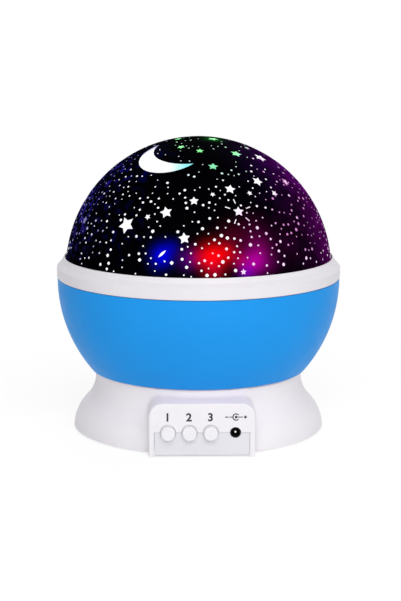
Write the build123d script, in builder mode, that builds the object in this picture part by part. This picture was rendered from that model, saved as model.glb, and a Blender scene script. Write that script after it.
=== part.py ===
from build123d import *
import os
from math import acos, atan2, cos, degrees, radians, sin, sqrt, tan

os.makedirs("parts", exist_ok=True)

# Star night light projector, standing on its feet, +Z up, button panel facing -Y.
# Origin: centre of the base on the surface it stands on. All sizes in millimetres.

# ---- fits and clearances ----
running_clearance = 0.05  # radial, shaft in bore
fit_gap = 0.25  # round any piece set into a hole or recess of another
groove_gap = 0.15  # visible seam between two moulded pieces
turning_gap = 0.5  # bowl floor above the base's rim
seam_gap = 0.2  # collar above the bowl's rim
thread_gap = 0.02  # screw thread, simplified, in its pilot hole
head_gap = 0.1  # screw head in its counterbore
sliver = 0.01  # overshoot that lets a cut open a face cleanly
edge_round = 0.5  # small outside edges

# ---- base housing: spun skirt with a front panel ----
housing_wall = 2.2
housing_bottom = 0.6
skirt_radius = 57.75
belly_inset = 1.33  # how far the skirt has drawn in half way up
belly_height = 6.5
shoulder_inset = 5.15  # and where it turns inward
shoulder_height = 12.3
rim_radius = 48.0
throat_flare = 0.1  # throat below the rim, wider by this
throat_drop = 7.0
rim_round = 0.6
base_height = 27.0  # the rim that the bowl turns above
recess_radius = 35.0  # gear recess in the top of the base
recess_depth = 6.0

panel_proud = 2.45  # panel face in front of the skirt
panel_width = 46.5
panel_height = 24.0
panel_corner = 6.0
panel_blend = 2.5  # fillet between panel and skirt
panel_edge = 1.0

spindle_boss_depth = 2.6  # bosses under the deck, for the spindle's screws
spindle_hole_depth = 4.2
motor_boss_height = 2.0  # bosses on the deck, for the motor's screws
motor_hole_depth = 3.4
shaft_passage = 1.0  # room round the motor's shaft

# ---- controls on the panel ----
control_height = 11.2  # centres of buttons and jack
button_centres = (-14.8, -5.5, 3.8)
button_radius = 3.05
button_gap = 0.5  # round each cap in its hole
button_flange_lip = 0.35  # flange wider than the hole
button_flange = 1.0
button_reach = 3.0  # cap stands proud of the panel
button_travel = 2.0
jack_centre = 14.5
jack_bore_radius = 1.8
jack_nose_wall = 0.5
jack_pin_radius = 0.65
jack_depth = 8.0
jack_body = (7.0, 10.5, 7.6)
jack_nose_proud = 0.1  # nose in front of the tongue
jack_pin_setback = 0.8
switch_size = 8.4
switch_depth = 8.5
switch_setback = 5.0  # switch face behind the panel's inner face
plunger_radius = 1.4
plunger_room = 6.0
socket_depth = 3.2  # plunger in the back of its cap
board_thickness = 1.6
board_side_gap = 0.55  # board inside the panel's walls
board_depth = 16.8
board_front = 1.2  # board edge behind the panel's inner face
board_corner = 1.0
board_screw_x = 18.0
board_screw_inset = 2.3  # from the board's back edge
board_hole_depth = 3.6
chip_x = -7.0
chip_size = (6.2, 3.9, 1.5)
chip_edge = 0.3
capacitor_x = 6.0
capacitor_radius = 2.0
capacitor_height = 5.0
capacitor_edge = 0.4

# ---- bottom cover, battery bay and feet ----
foot_height = 1.9
foot_radius = 4.5
foot_x = 31.5
foot_y = 29.5
foot_web = 1.8  # cover left between foot and screw head
case_web = 2.3  # cover held under the screw head
cover_bottom = 1.0
cover_thickness = 2.0
tongue_frame = 2.55  # panel left on each side of the tongue
tongue_recess = 0.3  # tongue set back from the panel face
tongue_thickness = 2.0
cover_draw = 0.4  # skirt leans in by this at the top of the cover
cell_diameter = 10.5
cell_length = 43.5
cell_tip_length = 1.0
cell_tip_radius = 1.9
cell_edge = 0.4
cell_floor_gap = 0.35  # cell above the door
cell_roof_gap = 0.45
cell_gap = 0.7  # between neighbouring cells
cell_count = 4
cell_row_centre = 14.4  # y of the middle of the row
contact_room = 2.1  # at each end of a cell
bay_wall = 1.5
door_thickness = 1.6
door_pin_radius = 0.5
door_pin_length = 1.2
latch_height = 2.0
latch_width = 10.0
latch_thickness = 0.8
latch_setback = 0.1
grip_count = 4  # grooves for a finger, in the door's underside
grip_pitch = 2.0
grip_length = 14.0
grip_width = 0.9
grip_depth = 0.5
grip_place = 7.0  # middle of the grooves, from the door's free edge
contact_thickness = 0.4
contact_height = 8.0
leaf_rise = 3.0  # each leaf reaches this far above and below its bend

# ---- drive ----
gear_module = 1.0
gear_teeth = 40
pinion_teeth = 12
pressure_angle = 25.0
tooth_thinning = 0.12
gear_thickness = 3.0
gear_lift = 0.1  # wheel above the foot of the hub
gear_screw_gap = 1.1  # gear screw heads clear of the hub
pinion_hub_radius = 3.5
pinion_hub = 1.5
motor_radius = 12.0
gearbox_height = 8.0
can_radius = 10.0
can_height = 5.5
can_edge = 0.8
motor_shaft_radius = 1.5
shaft_bearing = 5.0  # depth of the shaft's bore in the gearbox
shaft_end_gap = 0.2
motor_ear_reach = 15.0
motor_ear = 2.0

# ---- spindle and light head ----
spindle_radius = 9.0
spindle_bore = 6.0
spindle_flange_lip = 2.5  # flange past the hub
spindle_flange = 1.6
washer_thickness = 0.6
washer_inset = 0.5
hub_wall = 2.5
hub_height = 7.8
clip_thickness = 0.8
clip_gap = 0.3  # ring above the hub
clip_play = 0.1  # ring in its groove
clip_groove_depth = 0.8
clip_inset = 0.3  # ring inside the hub's edge
journal_tail = 3.0  # journal above the ring's groove
journal_chamfer = 0.8
column_wall = 1.5
column_drop = 7.3  # top of the column, below the bowl's centre
column_head = 3.0
light_board_radius = 13.0
light_board_thickness = 1.6
light_hole_radius = 1.2
light_hole_inset = 2.5
led_radius = 2.5
led_height = 8.6
led_flange = 0.4
led_flange_height = 1.0
led_circle = 7.0

# ---- wiring ----
wire_radius = 0.55
cable_radius = 1.0

# ---- bowl ----
bowl_wall = 2.2
bowl_depth = 41.8  # floor to the sphere's centre
bowl_rim = 0.65  # rim above the sphere's centre
ledge_width = 2.6  # ring that carries dome and reflector
ledge_drop = 1.45  # seat for the dome below the rim
ledge_web = 2.2
shelf_width = 5.0  # inner shelf that carries the reflector
reflector_thickness = 1.2
reflector_hole = 14.0
reflector_sink = 4.4  # dish, rim to hole
dish_inset = 0.5  # dish starts inside the shelf's edge
floor_round = 0.5
gear_boss_height = 3.0
gear_hole_depth = 2.4  # past the floor
shelf_boss_depth = 2.6
shelf_hole_depth = 2.2  # past the shelf
key_inset = 0.75  # key inside the ledge
key_angle = 4.0
key_height = 1.2

# ---- collar: bayonet ring ----
collar_skirt = 0.85  # thin skirt inside the bowl
collar_skirt_drop = 4.1
shelf_gap = 0.3  # shelf below the collar's skirt
collar_bead = 0.5
bead_rise = 0.5  # bead above the skirt's lower edge
bead_height = 0.9
bead_play = 0.3  # groove below the bead
bead_groove = 1.6
collar_wall = 3.65  # bore to the face of the band
collar_overhang = 0.2  # band proud of the bowl
band_height = 4.9
band_shoulder = (1.55, 2.1)  # wall left above the shoulder, and its rise
lip = (0.5, 2.2)  # wall left at the lip, and its rise
lug_count = 3
lug_angle = 7.0
lug_height = 1.2
lug_reach = 1.3
lug_rise = 2.5  # lugs above the dome's seat
lug_root = 0.5  # lug sunk in the collar's wall
lock_angle = 18.0
slot_play = 0.35

# ---- dome ----
dome_radius = 61.0
dome_wall = 2.0
dome_skirt = 4.5
dome_clearance = 0.35
cutter_reach = 1.0  # slot cutters past the dome's skin

# ---- screws: head radius, head height, shank radius, length under the head ----
case_screw = (2.5, 1.6, 1.25, 9.0)
post_screw = (1.9, 1.1, 1.0, 4.0)
small_screw = (1.9, 1.2, 1.0, 5.0)
gear_screw_length = 6.6
light_screw = (1.3, 0.8, 0.6, 4.0)
slot_length = 1.3  # share of the head's radius
slot_width = 0.6
slot_depth = 0.7
head_round = 0.35  # share of the head's height
point_chamfer = 0.4  # share of the shank's radius
boss_wall = 1.6

# ---- worked out from the above ----
cell_pitch = cell_diameter + cell_gap
button_hole_radius = button_radius + button_gap
button_flange_radius = button_hole_radius + button_flange_lip
jack_nose_radius = jack_bore_radius + jack_nose_wall
board_width = panel_width - 2 * (housing_wall + board_side_gap)
tongue_width = panel_width - 2 * tongue_frame
hub_radius = spindle_radius + hub_wall
spindle_flange_radius = hub_radius + spindle_flange_lip
column_radius = spindle_bore + column_wall
panel_reach = skirt_radius + panel_proud
deck_height = base_height - recess_depth
deck_underside = deck_height - housing_wall
bowl_floor = base_height + turning_gap
bowl_centre = bowl_floor + bowl_depth
collar_bore = dome_radius + dome_clearance
collar_radius = collar_bore + collar_wall
bowl_radius = collar_radius - collar_overhang
column_height = bowl_centre - column_drop  # carries the light board
bowl_floor_radius = sqrt(bowl_radius**2 - bowl_depth**2)
bowl_rim_height = bowl_centre + bowl_rim
skirt_outer = collar_bore + collar_skirt
rim_bore = skirt_outer + fit_gap
seat_height = bowl_rim_height - ledge_drop
dome_centre = seat_height + dome_skirt
dome_inner = dome_radius - dome_wall
ledge_outer = collar_bore - fit_gap
ledge_inner = ledge_outer - ledge_width
collar_bottom = bowl_rim_height + seam_gap
lug_bottom = seat_height + lug_rise
centre_distance = gear_module * (gear_teeth + pinion_teeth) / 2
washer_bottom = deck_height + spindle_flange
hub_bottom = washer_bottom + washer_thickness
gear_bottom = hub_bottom + gear_lift
cover_top = cover_bottom + cover_thickness
cell_height = cover_bottom + door_thickness + cell_floor_gap + cell_diameter / 2
bay_half_length = cell_length / 2 + cell_tip_length / 2 + contact_room
bay_half_width = cell_count * cell_pitch / 2
bay_top = cell_height + cell_diameter / 2 + cell_roof_gap
panel_inner = panel_reach - housing_wall
tongue_face = panel_reach - tongue_recess
cover_radius = skirt_radius - housing_wall - cover_draw - fit_gap
case_head_seat = foot_height + foot_web
case_boss_bottom = case_head_seat + case_web
bay_outer_length = 2 * (bay_half_length + bay_wall)
bay_outer_width = 2 * (bay_half_width + bay_wall)
cell_rows = [cell_row_centre + (n - (cell_count - 1) / 2) * cell_pitch for n in range(cell_count)]
door_axis_y = cell_row_centre + bay_half_width - fit_gap - door_thickness / 2
door_axis_z = cover_bottom + door_thickness / 2
board_bottom = control_height - switch_size / 2 - board_thickness
board_top = board_bottom + board_thickness
board_front_y = -(panel_inner - board_front)
board_back_y = board_front_y + board_depth
board_screw_y = board_back_y - board_screw_inset
switch_front_y = -(panel_inner - switch_setback)
hub_top = hub_bottom + hub_height
clip_bottom = hub_top + clip_gap
journal_top = clip_bottom + journal_tail
light_screw_circle = (spindle_bore + spindle_radius) / 2
screw_turns = (90, 210, 330)  # spindle and reflector screws, round the axis
motor_ears = [(-motor_ear_reach, -centre_distance), (motor_ear_reach, -centre_distance)]
board_screw_places = [(-board_screw_x, board_screw_y), (board_screw_x, board_screw_y)]
button_places = [(x, control_height) for x in button_centres]
collar_skirt_bottom = bowl_rim_height - collar_skirt_drop
shelf_top = collar_skirt_bottom - shelf_gap
shelf_bottom = shelf_top - ledge_web


# A screw standing on its head at z = 0, pointing up, with a crossed slot in the head.
def make_screw(head_radius, head_height, shank_radius, length):
    with BuildPart() as screw:
        Cylinder(head_radius, head_height, align=(Align.CENTER, Align.CENTER, Align.MIN))
        fillet(screw.edges().sort_by(Axis.Z)[0], head_height * head_round)
        with Locations((0, 0, head_height)):
            Cylinder(shank_radius, length, align=(Align.CENTER, Align.CENTER, Align.MIN))
        chamfer(screw.edges().sort_by(Axis.Z)[-1], shank_radius * point_chamfer)
        for turn in (0, 90):
            with Locations(Location((0, 0, 0), (0, 0, turn))):
                Box(slot_length * head_radius, slot_width, slot_depth * 2, mode=Mode.SUBTRACT)
    return screw.part


# A spur gear with involute flanks, centred on the axis, standing on z = 0.
def make_gear(teeth, thickness, turn):
    pitch_radius = gear_module * teeth / 2
    base_radius = pitch_radius * cos(radians(pressure_angle))
    tip_radius = pitch_radius + gear_module
    root_radius = pitch_radius - 1.25 * gear_module
    start_radius = max(base_radius, root_radius)

    # how far round the flank has wandered from the base circle at a radius, in radians
    def involute(radius):
        slope = acos(base_radius / radius)
        return tan(slope) - slope

    half_tooth = (gear_module * 1.5708 - tooth_thinning) / (2 * pitch_radius)

    def flank_point(radius, side):
        angle = side * (half_tooth + involute(pitch_radius) - involute(radius))
        return (radius * cos(angle), radius * sin(angle))

    steps = [start_radius + (tip_radius - start_radius) * n / 4 for n in range(5)]
    right = [flank_point(r, -1) for r in steps]
    left = [flank_point(r, 1) for r in reversed(steps)]
    root_angle = atan2(left[-1][1], left[-1][0])
    sunk = root_radius - 0.3 * gear_module
    foot_left = (sunk * cos(root_angle), sunk * sin(root_angle))
    foot_right = (foot_left[0], -foot_left[1])
    with BuildSketch(mode=Mode.PRIVATE) as tooth:
        with BuildLine():
            Spline(*right)
            ThreePointArc(right[-1], (tip_radius, 0), left[0])
            Spline(*left)
            Polyline(left[-1], foot_left, foot_right, right[0])
        make_face()
    with BuildPart() as gear:
        with BuildSketch():
            Circle(root_radius)
            with PolarLocations(0, teeth, start_angle=turn):
                add(tooth.sketch)
        extrude(amount=thickness)
    return gear.part


# A wire: straight runs joined by arcs as large as the runs allow.
def make_wire(points, radius):
    corners = [Vector(*p) for p in points]
    runs = [b - a for a, b in zip(corners, corners[1:])]
    bends = []
    for before, after in zip(runs, runs[1:]):
        half_turn = radians(before.get_angle(after)) / 2
        bends.append(0.45 * min(before.length, after.length) / tan(half_turn))
    with BuildPart() as wire:
        with BuildLine() as path:
            FilletPolyline(*corners, radius=bends)
        with BuildSketch(Plane(origin=path.line @ 0, z_dir=path.line % 0)):
            Circle(radius)
        sweep()
    return wire.part


# ======== base housing ========
case_head_radius, case_head_height, screw_radius, screw_length = case_screw
foot_places = [(x, y) for x in (-foot_x, foot_x) for y in (-foot_y, foot_y)]
case_boss_radius = screw_radius + boss_wall
motor_boss_radius = small_screw[2] + boss_wall
with BuildPart() as base_housing:
    with BuildSketch(Plane.XZ):
        with BuildLine():
            skirt_arc = ThreePointArc(
                (skirt_radius, housing_bottom),
                (skirt_radius - belly_inset, belly_height),
                (skirt_radius - shoulder_inset, shoulder_height),
            )
            throat_arc = TangentArc(
                skirt_arc @ 1,
                (rim_radius + throat_flare, base_height - throat_drop),
                tangent=skirt_arc % 1,
            )
            neck_arc = TangentArc(
                throat_arc @ 1, (rim_radius, base_height - rim_round), tangent=throat_arc % 1
            )
            rim_arc = TangentArc(
                neck_arc @ 1, (rim_radius - rim_round, base_height), tangent=neck_arc % 1
            )
            Polyline(
                rim_arc @ 1,
                (recess_radius, base_height),
                (recess_radius, deck_height),
                (0, deck_height),
                (0, housing_bottom),
                skirt_arc @ 0,
            )
        make_face()
    revolve(axis=Axis.Z)
    with BuildSketch(Plane.XZ.offset(panel_reach)) as panel_outline:
        with Locations((0, housing_bottom)):
            Rectangle(
                panel_width, panel_height - housing_bottom, align=(Align.CENTER, Align.MIN)
            )
        fillet(panel_outline.vertices().group_by(Axis.Y)[-1], panel_corner)
    extrude(amount=-(panel_reach - recess_radius - housing_wall))
    blend_edges = base_housing.edges().filter_by(
        lambda e: e.geom_type == GeomType.BSPLINE and e.center().Y > -skirt_radius
    )
    fillet(blend_edges, panel_blend)
    front_face = base_housing.faces().sort_by(Axis.Y)[0]
    fillet(front_face.edges().filter_by(lambda e: e.center().Z > cover_bottom), panel_edge)
    offset(amount=-housing_wall, openings=base_housing.faces().sort_by(Axis.Z)[0])
    # case screw bosses hang from the underside of the rim, their tops sunk in its wall
    with BuildSketch(Plane.XY.offset(case_boss_bottom)):
        with Locations(*foot_places):
            Circle(case_boss_radius)
    extrude(amount=base_height - housing_wall / 2 - case_boss_bottom)
    with BuildSketch(Plane.XY.offset(case_boss_bottom)):
        with Locations(*foot_places):
            Circle(screw_radius + thread_gap)
    extrude(amount=screw_length, mode=Mode.SUBTRACT)
    # bosses for the spindle screws, under the deck
    with BuildSketch(Plane.XY.offset(deck_underside)):
        with PolarLocations(hub_radius, 3, start_angle=90):
            Circle(post_screw[2] + boss_wall)
    extrude(amount=-spindle_boss_depth)
    with BuildSketch(Plane.XY.offset(deck_height)):
        with PolarLocations(hub_radius, 3, start_angle=90):
            Circle(post_screw[2] + thread_gap)
    extrude(amount=-spindle_hole_depth, mode=Mode.SUBTRACT)
    # bosses for the motor screws, on the deck
    with BuildSketch(Plane.XY.offset(deck_height)):
        with Locations(*motor_ears):
            Circle(motor_boss_radius)
    extrude(amount=motor_boss_height)
    with BuildSketch(Plane.XY.offset(deck_underside)):
        with Locations(*motor_ears):
            Circle(small_screw[2] + thread_gap)
    extrude(amount=motor_hole_depth, mode=Mode.SUBTRACT)
    # passages for the cable and the motor's shaft
    with BuildSketch(Plane.XY.offset(deck_underside)):
        Circle(spindle_bore)
        with Locations((0, -centre_distance)):
            Circle(motor_shaft_radius + shaft_passage)
    extrude(amount=housing_wall, mode=Mode.SUBTRACT)
    # opening for the tongue, then the button holes and the jack hole
    with BuildSketch(Plane.XZ.offset(panel_reach)):
        with Locations((0, housing_bottom)):
            Rectangle(
                tongue_width + 2 * groove_gap,
                control_height + groove_gap - housing_bottom,
                align=(Align.CENTER, Align.MIN),
            )
        with Locations(*button_places):
            Circle(button_hole_radius)
        with Locations((jack_centre, control_height)):
            Circle(jack_nose_radius + fit_gap / 2)
    extrude(amount=-(housing_wall + panel_edge), mode=Mode.SUBTRACT)
base_housing.part.label = "base_housing"
export_step(base_housing.part, "parts/base_housing.step")

# ======== bottom cover: plate, tongue, battery bay, bosses ========
with BuildPart() as bottom_cover:
    with BuildSketch(Plane.XY.offset(cover_bottom)):
        Circle(cover_radius)
        with Locations((0, -tongue_face)):
            Rectangle(tongue_width, tongue_face / 2, align=(Align.CENTER, Align.MIN))
    extrude(amount=cover_thickness)
    with BuildSketch(Plane.XZ.offset(tongue_face)):
        with Locations((0, housing_bottom)):
            Rectangle(
                tongue_width, control_height - housing_bottom, align=(Align.CENTER, Align.MIN)
            )
    extrude(amount=-tongue_thickness)
    tongue_foot = bottom_cover.faces().sort_by(Axis.Y)[0].edges().sort_by(Axis.Z)[0]
    fillet(tongue_foot, panel_edge)
    with BuildSketch(Plane.XZ.offset(tongue_face)):
        with Locations(*button_places):
            Circle(button_hole_radius)
        with Locations((jack_centre, control_height)):
            Circle(jack_nose_radius + fit_gap / 2)
    extrude(amount=-(tongue_thickness + sliver), mode=Mode.SUBTRACT)
    # battery bay, open below
    with BuildSketch(Plane.XY.offset(cover_bottom)):
        with Locations((0, cell_row_centre)):
            Rectangle(bay_outer_length, bay_outer_width)
    extrude(amount=bay_top + bay_wall - cover_bottom)
    # bosses for the case screws and the board
    with BuildSketch(Plane.XY.offset(cover_bottom)):
        with Locations(*foot_places):
            Circle(foot_radius)
    extrude(amount=case_boss_bottom - cover_bottom)
    with BuildSketch(Plane.XY.offset(cover_top)):
        with Locations(*board_screw_places):
            Circle(small_screw[2] + boss_wall)
    extrude(amount=board_bottom - cover_top)
    with BuildSketch(Plane.XY.offset(cover_bottom)):
        with Locations((0, cell_row_centre)):
            Rectangle(2 * bay_half_length, 2 * bay_half_width)
    extrude(amount=bay_top - cover_bottom, mode=Mode.SUBTRACT)
    # foot recesses, screw seats and screw holes
    with BuildSketch(Plane.XY.offset(cover_bottom)):
        with Locations(*foot_places):
            Circle(foot_radius + fit_gap / 2)
    extrude(amount=foot_height - cover_bottom, mode=Mode.SUBTRACT)
    with BuildSketch(Plane.XY.offset(foot_height)):
        with Locations(*foot_places):
            Circle(case_head_radius + fit_gap)
    extrude(amount=case_head_seat - foot_height, mode=Mode.SUBTRACT)
    with BuildSketch(Plane.XY.offset(case_head_seat)):
        with Locations(*foot_places):
            Circle(screw_radius + fit_gap)
    extrude(amount=case_boss_bottom - case_head_seat, mode=Mode.SUBTRACT)
    with BuildSketch(Plane.XY.offset(board_bottom)):
        with Locations(*board_screw_places):
            Circle(small_screw[2] + thread_gap)
    extrude(amount=-board_hole_depth, mode=Mode.SUBTRACT)
    # bearings for the door's pins
    with BuildSketch(Plane.YZ.offset(-bay_half_length - door_pin_length)):
        with Locations((door_axis_y, door_axis_z)):
            Circle(door_pin_radius + running_clearance)
    extrude(amount=2 * (bay_half_length + door_pin_length), mode=Mode.SUBTRACT)
bottom_cover.part.label = "bottom_cover"
export_step(bottom_cover.part, "parts/bottom_cover.step")

# ======== battery door: plate, hinge pins, latch finger ========
door_half_length = bay_half_length - fit_gap
door_front_y = cell_row_centre - bay_half_width + fit_gap
with BuildPart() as battery_door:
    with BuildSketch(Plane.YZ.offset(-door_half_length)):
        with Locations((door_front_y, cover_bottom)):
            Rectangle(
                door_axis_y - door_front_y, door_thickness, align=(Align.MIN, Align.MIN)
            )
        with Locations((door_axis_y, door_axis_z)):
            Circle(door_thickness / 2)
    extrude(amount=2 * door_half_length)
    with BuildSketch(Plane.YZ.offset(-bay_half_length - door_pin_length + fit_gap)):
        with Locations((door_axis_y, door_axis_z)):
            Circle(door_pin_radius)
    extrude(amount=2 * (bay_half_length + door_pin_length - fit_gap))
    with Locations((0, door_front_y + latch_setback, cover_bottom + door_thickness)):
        Box(
            latch_width, latch_thickness, latch_height, align=(Align.CENTER, Align.MIN, Align.MIN)
        )
    # grooves for a finger, in the underside
    with BuildSketch(Plane.XY.offset(cover_bottom)):
        with Locations((0, door_front_y + grip_place)):
            with GridLocations(0, grip_pitch, 1, grip_count):
                Rectangle(grip_length, grip_width)
    extrude(amount=grip_depth, mode=Mode.SUBTRACT)
battery_door.part.label = "battery_door"
export_step(battery_door.part, "parts/battery_door.step")

# ======== battery cells, laid head to tail ========
contact_face = bay_half_length - contact_thickness
for number, row in enumerate(cell_rows, start=1):
    way = 1 if number % 2 else -1
    can_end = way * (contact_face - cell_tip_length)
    with BuildPart() as cell:
        with BuildSketch(Plane.YZ.offset(can_end)):
            with Locations((row, cell_height)):
                Circle(cell_diameter / 2)
        extrude(amount=-way * cell_length)
        fillet(cell.edges().filter_by(GeomType.CIRCLE), cell_edge)
        with BuildSketch(Plane.YZ.offset(can_end)):
            with Locations((row, cell_height)):
                Circle(cell_tip_radius)
        extrude(amount=way * cell_tip_length)
    cell.part.label = f"battery_cell_{number}"
    export_step(cell.part, f"parts/battery_cell_{number}.step")

# ======== contacts: flat plates on both end walls, bridging pairs ========
bridge = cell_pitch + contact_height
pair_middle = [(a + b) / 2 for a, b in zip(cell_rows, cell_rows[1:])]
with BuildPart() as contact_plates:
    with Locations(*[(bay_half_length, y, cell_height) for y in pair_middle[::2]]):
        Box(
            contact_thickness, bridge, contact_height, align=(Align.MAX, Align.CENTER, Align.CENTER)
        )
    with Locations(*[(-bay_half_length, y, cell_height) for y in pair_middle[1::2]]):
        Box(
            contact_thickness, bridge, contact_height, align=(Align.MIN, Align.CENTER, Align.CENTER)
        )
    with Locations(*[(-bay_half_length, y, cell_height) for y in (cell_rows[0], cell_rows[-1])]):
        Box(
            contact_thickness,
            contact_height,
            contact_height,
            align=(Align.MIN, Align.CENTER, Align.CENTER),
        )
contact_plates.part.label = "contact_plates"
export_step(contact_plates.part, "parts/contact_plates.step")

# bent leaves that push each cell against the plate at its tip
leaf_reach = 2 * contact_face - cell_length - cell_tip_length
with BuildPart() as contact_springs:
    for number, row in enumerate(cell_rows, start=1):
        way = 1 if number % 2 else -1
        with BuildSketch(Plane.XZ.offset(-row + contact_height / 4)):
            with BuildLine():
                Polyline(
                    (-way * (contact_face - contact_thickness / 2), cell_height - leaf_rise),
                    (-way * (contact_face - leaf_reach + contact_thickness), cell_height),
                    (-way * (contact_face - leaf_reach / 2), cell_height + leaf_rise),
                )
            trace(line_width=contact_thickness)
        extrude(amount=-contact_height / 2)
contact_springs.part.label = "contact_springs"
export_step(contact_springs.part, "parts/contact_springs.step")

# ======== feet and case screws ========
with BuildPart() as rubber_feet:
    with BuildSketch():
        with Locations(*foot_places):
            Circle(foot_radius)
    extrude(amount=foot_height)
    fillet(rubber_feet.edges().group_by(Axis.Z)[0], edge_round)
rubber_feet.part.label = "rubber_feet"
export_step(rubber_feet.part, "parts/rubber_feet.step")

case_screw_part = make_screw(*case_screw)
with BuildPart() as case_screws:
    with Locations(*[(x, y, case_head_seat - case_head_height) for x, y in foot_places]):
        add(case_screw_part)
case_screws.part.label = "case_screws"
export_step(case_screws.part, "parts/case_screws.step")

# ======== control board and what stands on it ========
with BuildPart() as control_board:
    with BuildSketch(Plane.XY.offset(board_bottom)) as board_outline:
        with Locations((0, board_front_y)):
            Rectangle(board_width, board_depth, align=(Align.CENTER, Align.MIN))
        fillet(board_outline.vertices(), board_corner)
        with Locations(*board_screw_places):
            Circle(small_screw[2] + fit_gap, mode=Mode.SUBTRACT)
    extrude(amount=board_thickness)
control_board.part.label = "control_board"
export_step(control_board.part, "parts/control_board.step")

small_screw_part = make_screw(*small_screw)
with BuildPart() as board_screws:
    for x, y in board_screw_places:
        with Locations(Location((x, y, board_top + small_screw[1]), (180, 0, 0))):
            add(small_screw_part)
board_screws.part.label = "board_screws"
export_step(board_screws.part, "parts/board_screws.step")

with BuildPart() as controller_chip:
    with Locations((chip_x, board_screw_y, board_top)):
        Box(*chip_size, align=(Align.CENTER, Align.CENTER, Align.MIN))
    chamfer(controller_chip.edges().group_by(Axis.Z)[-1], chip_edge)
controller_chip.part.label = "controller_chip"
export_step(controller_chip.part, "parts/controller_chip.step")

with BuildPart() as capacitor:
    with Locations((capacitor_x, board_screw_y, board_top)):
        Cylinder(
            capacitor_radius, capacitor_height, align=(Align.CENTER, Align.CENTER, Align.MIN)
        )
    fillet(capacitor.edges().group_by(Axis.Z)[-1], capacitor_edge)
capacitor.part.label = "capacitor"
export_step(capacitor.part, "parts/capacitor.step")

# ======== push switches, their plungers and the button caps ========
cap_back_y = switch_front_y - button_travel - fit_gap
cap_front_y = -(panel_reach + button_reach)
plunger_front_y = cap_back_y - socket_depth + fit_gap
plunger_back_y = switch_front_y + plunger_room - button_travel - fit_gap
for number, x in enumerate(button_centres, start=1):
    with BuildPart() as switch_body:
        with Locations((x, switch_front_y, control_height)):
            Box(
                switch_size,
                switch_depth,
                switch_size,
                align=(Align.CENTER, Align.MIN, Align.CENTER),
            )
        with BuildSketch(Plane.XZ.offset(-switch_front_y)):
            with Locations((x, control_height)):
                Circle(plunger_radius + running_clearance)
        extrude(amount=-plunger_room, mode=Mode.SUBTRACT)
    switch_body.part.label = f"switch_body_{number}"
    export_step(switch_body.part, f"parts/switch_body_{number}.step")

    with BuildPart() as plunger:
        with BuildSketch(Plane.XZ.offset(-plunger_front_y)):
            with Locations((x, control_height)):
                Circle(plunger_radius)
        extrude(amount=plunger_front_y - plunger_back_y)
    plunger.part.label = f"switch_plunger_{number}"
    export_step(plunger.part, f"parts/switch_plunger_{number}.step")

    with BuildPart() as button:
        with BuildSketch(Plane.XZ.offset(-cap_back_y)):
            with Locations((x, control_height)):
                Circle(button_radius)
        extrude(amount=cap_back_y - cap_front_y)
        fillet(button.edges().sort_by(Axis.Y)[0], edge_round)
        with BuildSketch(Plane.XZ.offset(panel_inner - button_flange - 2 * fit_gap)):
            with Locations((x, control_height)):
                Circle(button_flange_radius)
        extrude(amount=button_flange)
        with BuildSketch(Plane.XZ.offset(-cap_back_y)):
            with Locations((x, control_height)):
                Circle(plunger_radius + thread_gap)
        extrude(amount=socket_depth, mode=Mode.SUBTRACT)
    button.part.label = f"button_{number}"
    export_step(button.part, f"parts/button_{number}.step")

# ======== power inlet ========
jack_front_y = -(panel_inner - 2 * fit_gap)
jack_nose_y = -(tongue_face + jack_nose_proud)
with BuildPart() as dc_jack:
    with Locations((jack_centre, jack_front_y, board_top)):
        Box(*jack_body, align=(Align.CENTER, Align.MIN, Align.MIN))
    with BuildSketch(Plane.XZ.offset(-jack_front_y)):
        with Locations((jack_centre, control_height)):
            Circle(jack_nose_radius)
    extrude(amount=jack_front_y - jack_nose_y)
    with BuildSketch(Plane.XZ.offset(-jack_nose_y)):
        with Locations((jack_centre, control_height)):
            Circle(jack_bore_radius)
    extrude(amount=-jack_depth, mode=Mode.SUBTRACT)
dc_jack.part.label = "dc_jack"
export_step(dc_jack.part, "parts/dc_jack.step")

with BuildPart() as jack_pin:
    with BuildSketch(Plane.XZ.offset(-(jack_nose_y + jack_depth))):
        with Locations((jack_centre, control_height)):
            Circle(jack_pin_radius)
    extrude(amount=jack_depth - jack_pin_setback)
    fillet(jack_pin.edges().sort_by(Axis.Y)[0], jack_pin_radius * 0.6)
jack_pin.part.label = "jack_pin"
export_step(jack_pin.part, "parts/jack_pin.step")

# ======== geared motor under the deck, pinion above it ========
gearbox_bottom = deck_underside - gearbox_height
with BuildPart() as gearbox_case:
    with BuildSketch(Plane.XY.offset(gearbox_bottom)):
        with Locations((0, -centre_distance)):
            Circle(motor_radius)
    extrude(amount=gearbox_height)
    with BuildSketch(Plane.XY.offset(deck_underside)):
        with Locations((0, -centre_distance)):
            SlotCenterToCenter(2 * motor_ear_reach, 2 * motor_boss_radius)
        with Locations(*motor_ears):
            Circle(small_screw[2] + thread_gap, mode=Mode.SUBTRACT)
    extrude(amount=-motor_ear)
    with BuildSketch(Plane.XY.offset(deck_underside)):
        with Locations((0, -centre_distance)):
            Circle(motor_shaft_radius + running_clearance)
    extrude(amount=-shaft_bearing, mode=Mode.SUBTRACT)
gearbox_case.part.label = "gearbox_case"
export_step(gearbox_case.part, "parts/gearbox_case.step")

with BuildPart() as motor_can:
    with BuildSketch(Plane.XY.offset(gearbox_bottom)):
        with Locations((0, -centre_distance)):
            Circle(can_radius)
    extrude(amount=-can_height)
    fillet(motor_can.edges().group_by(Axis.Z)[0], can_edge)
motor_can.part.label = "motor_can"
export_step(motor_can.part, "parts/motor_can.step")

with BuildPart() as motor_screws:
    with Locations(*[(x, y, deck_underside - motor_ear - small_screw[1]) for x, y in motor_ears]):
        add(small_screw_part)
motor_screws.part.label = "motor_screws"
export_step(motor_screws.part, "parts/motor_screws.step")

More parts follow.
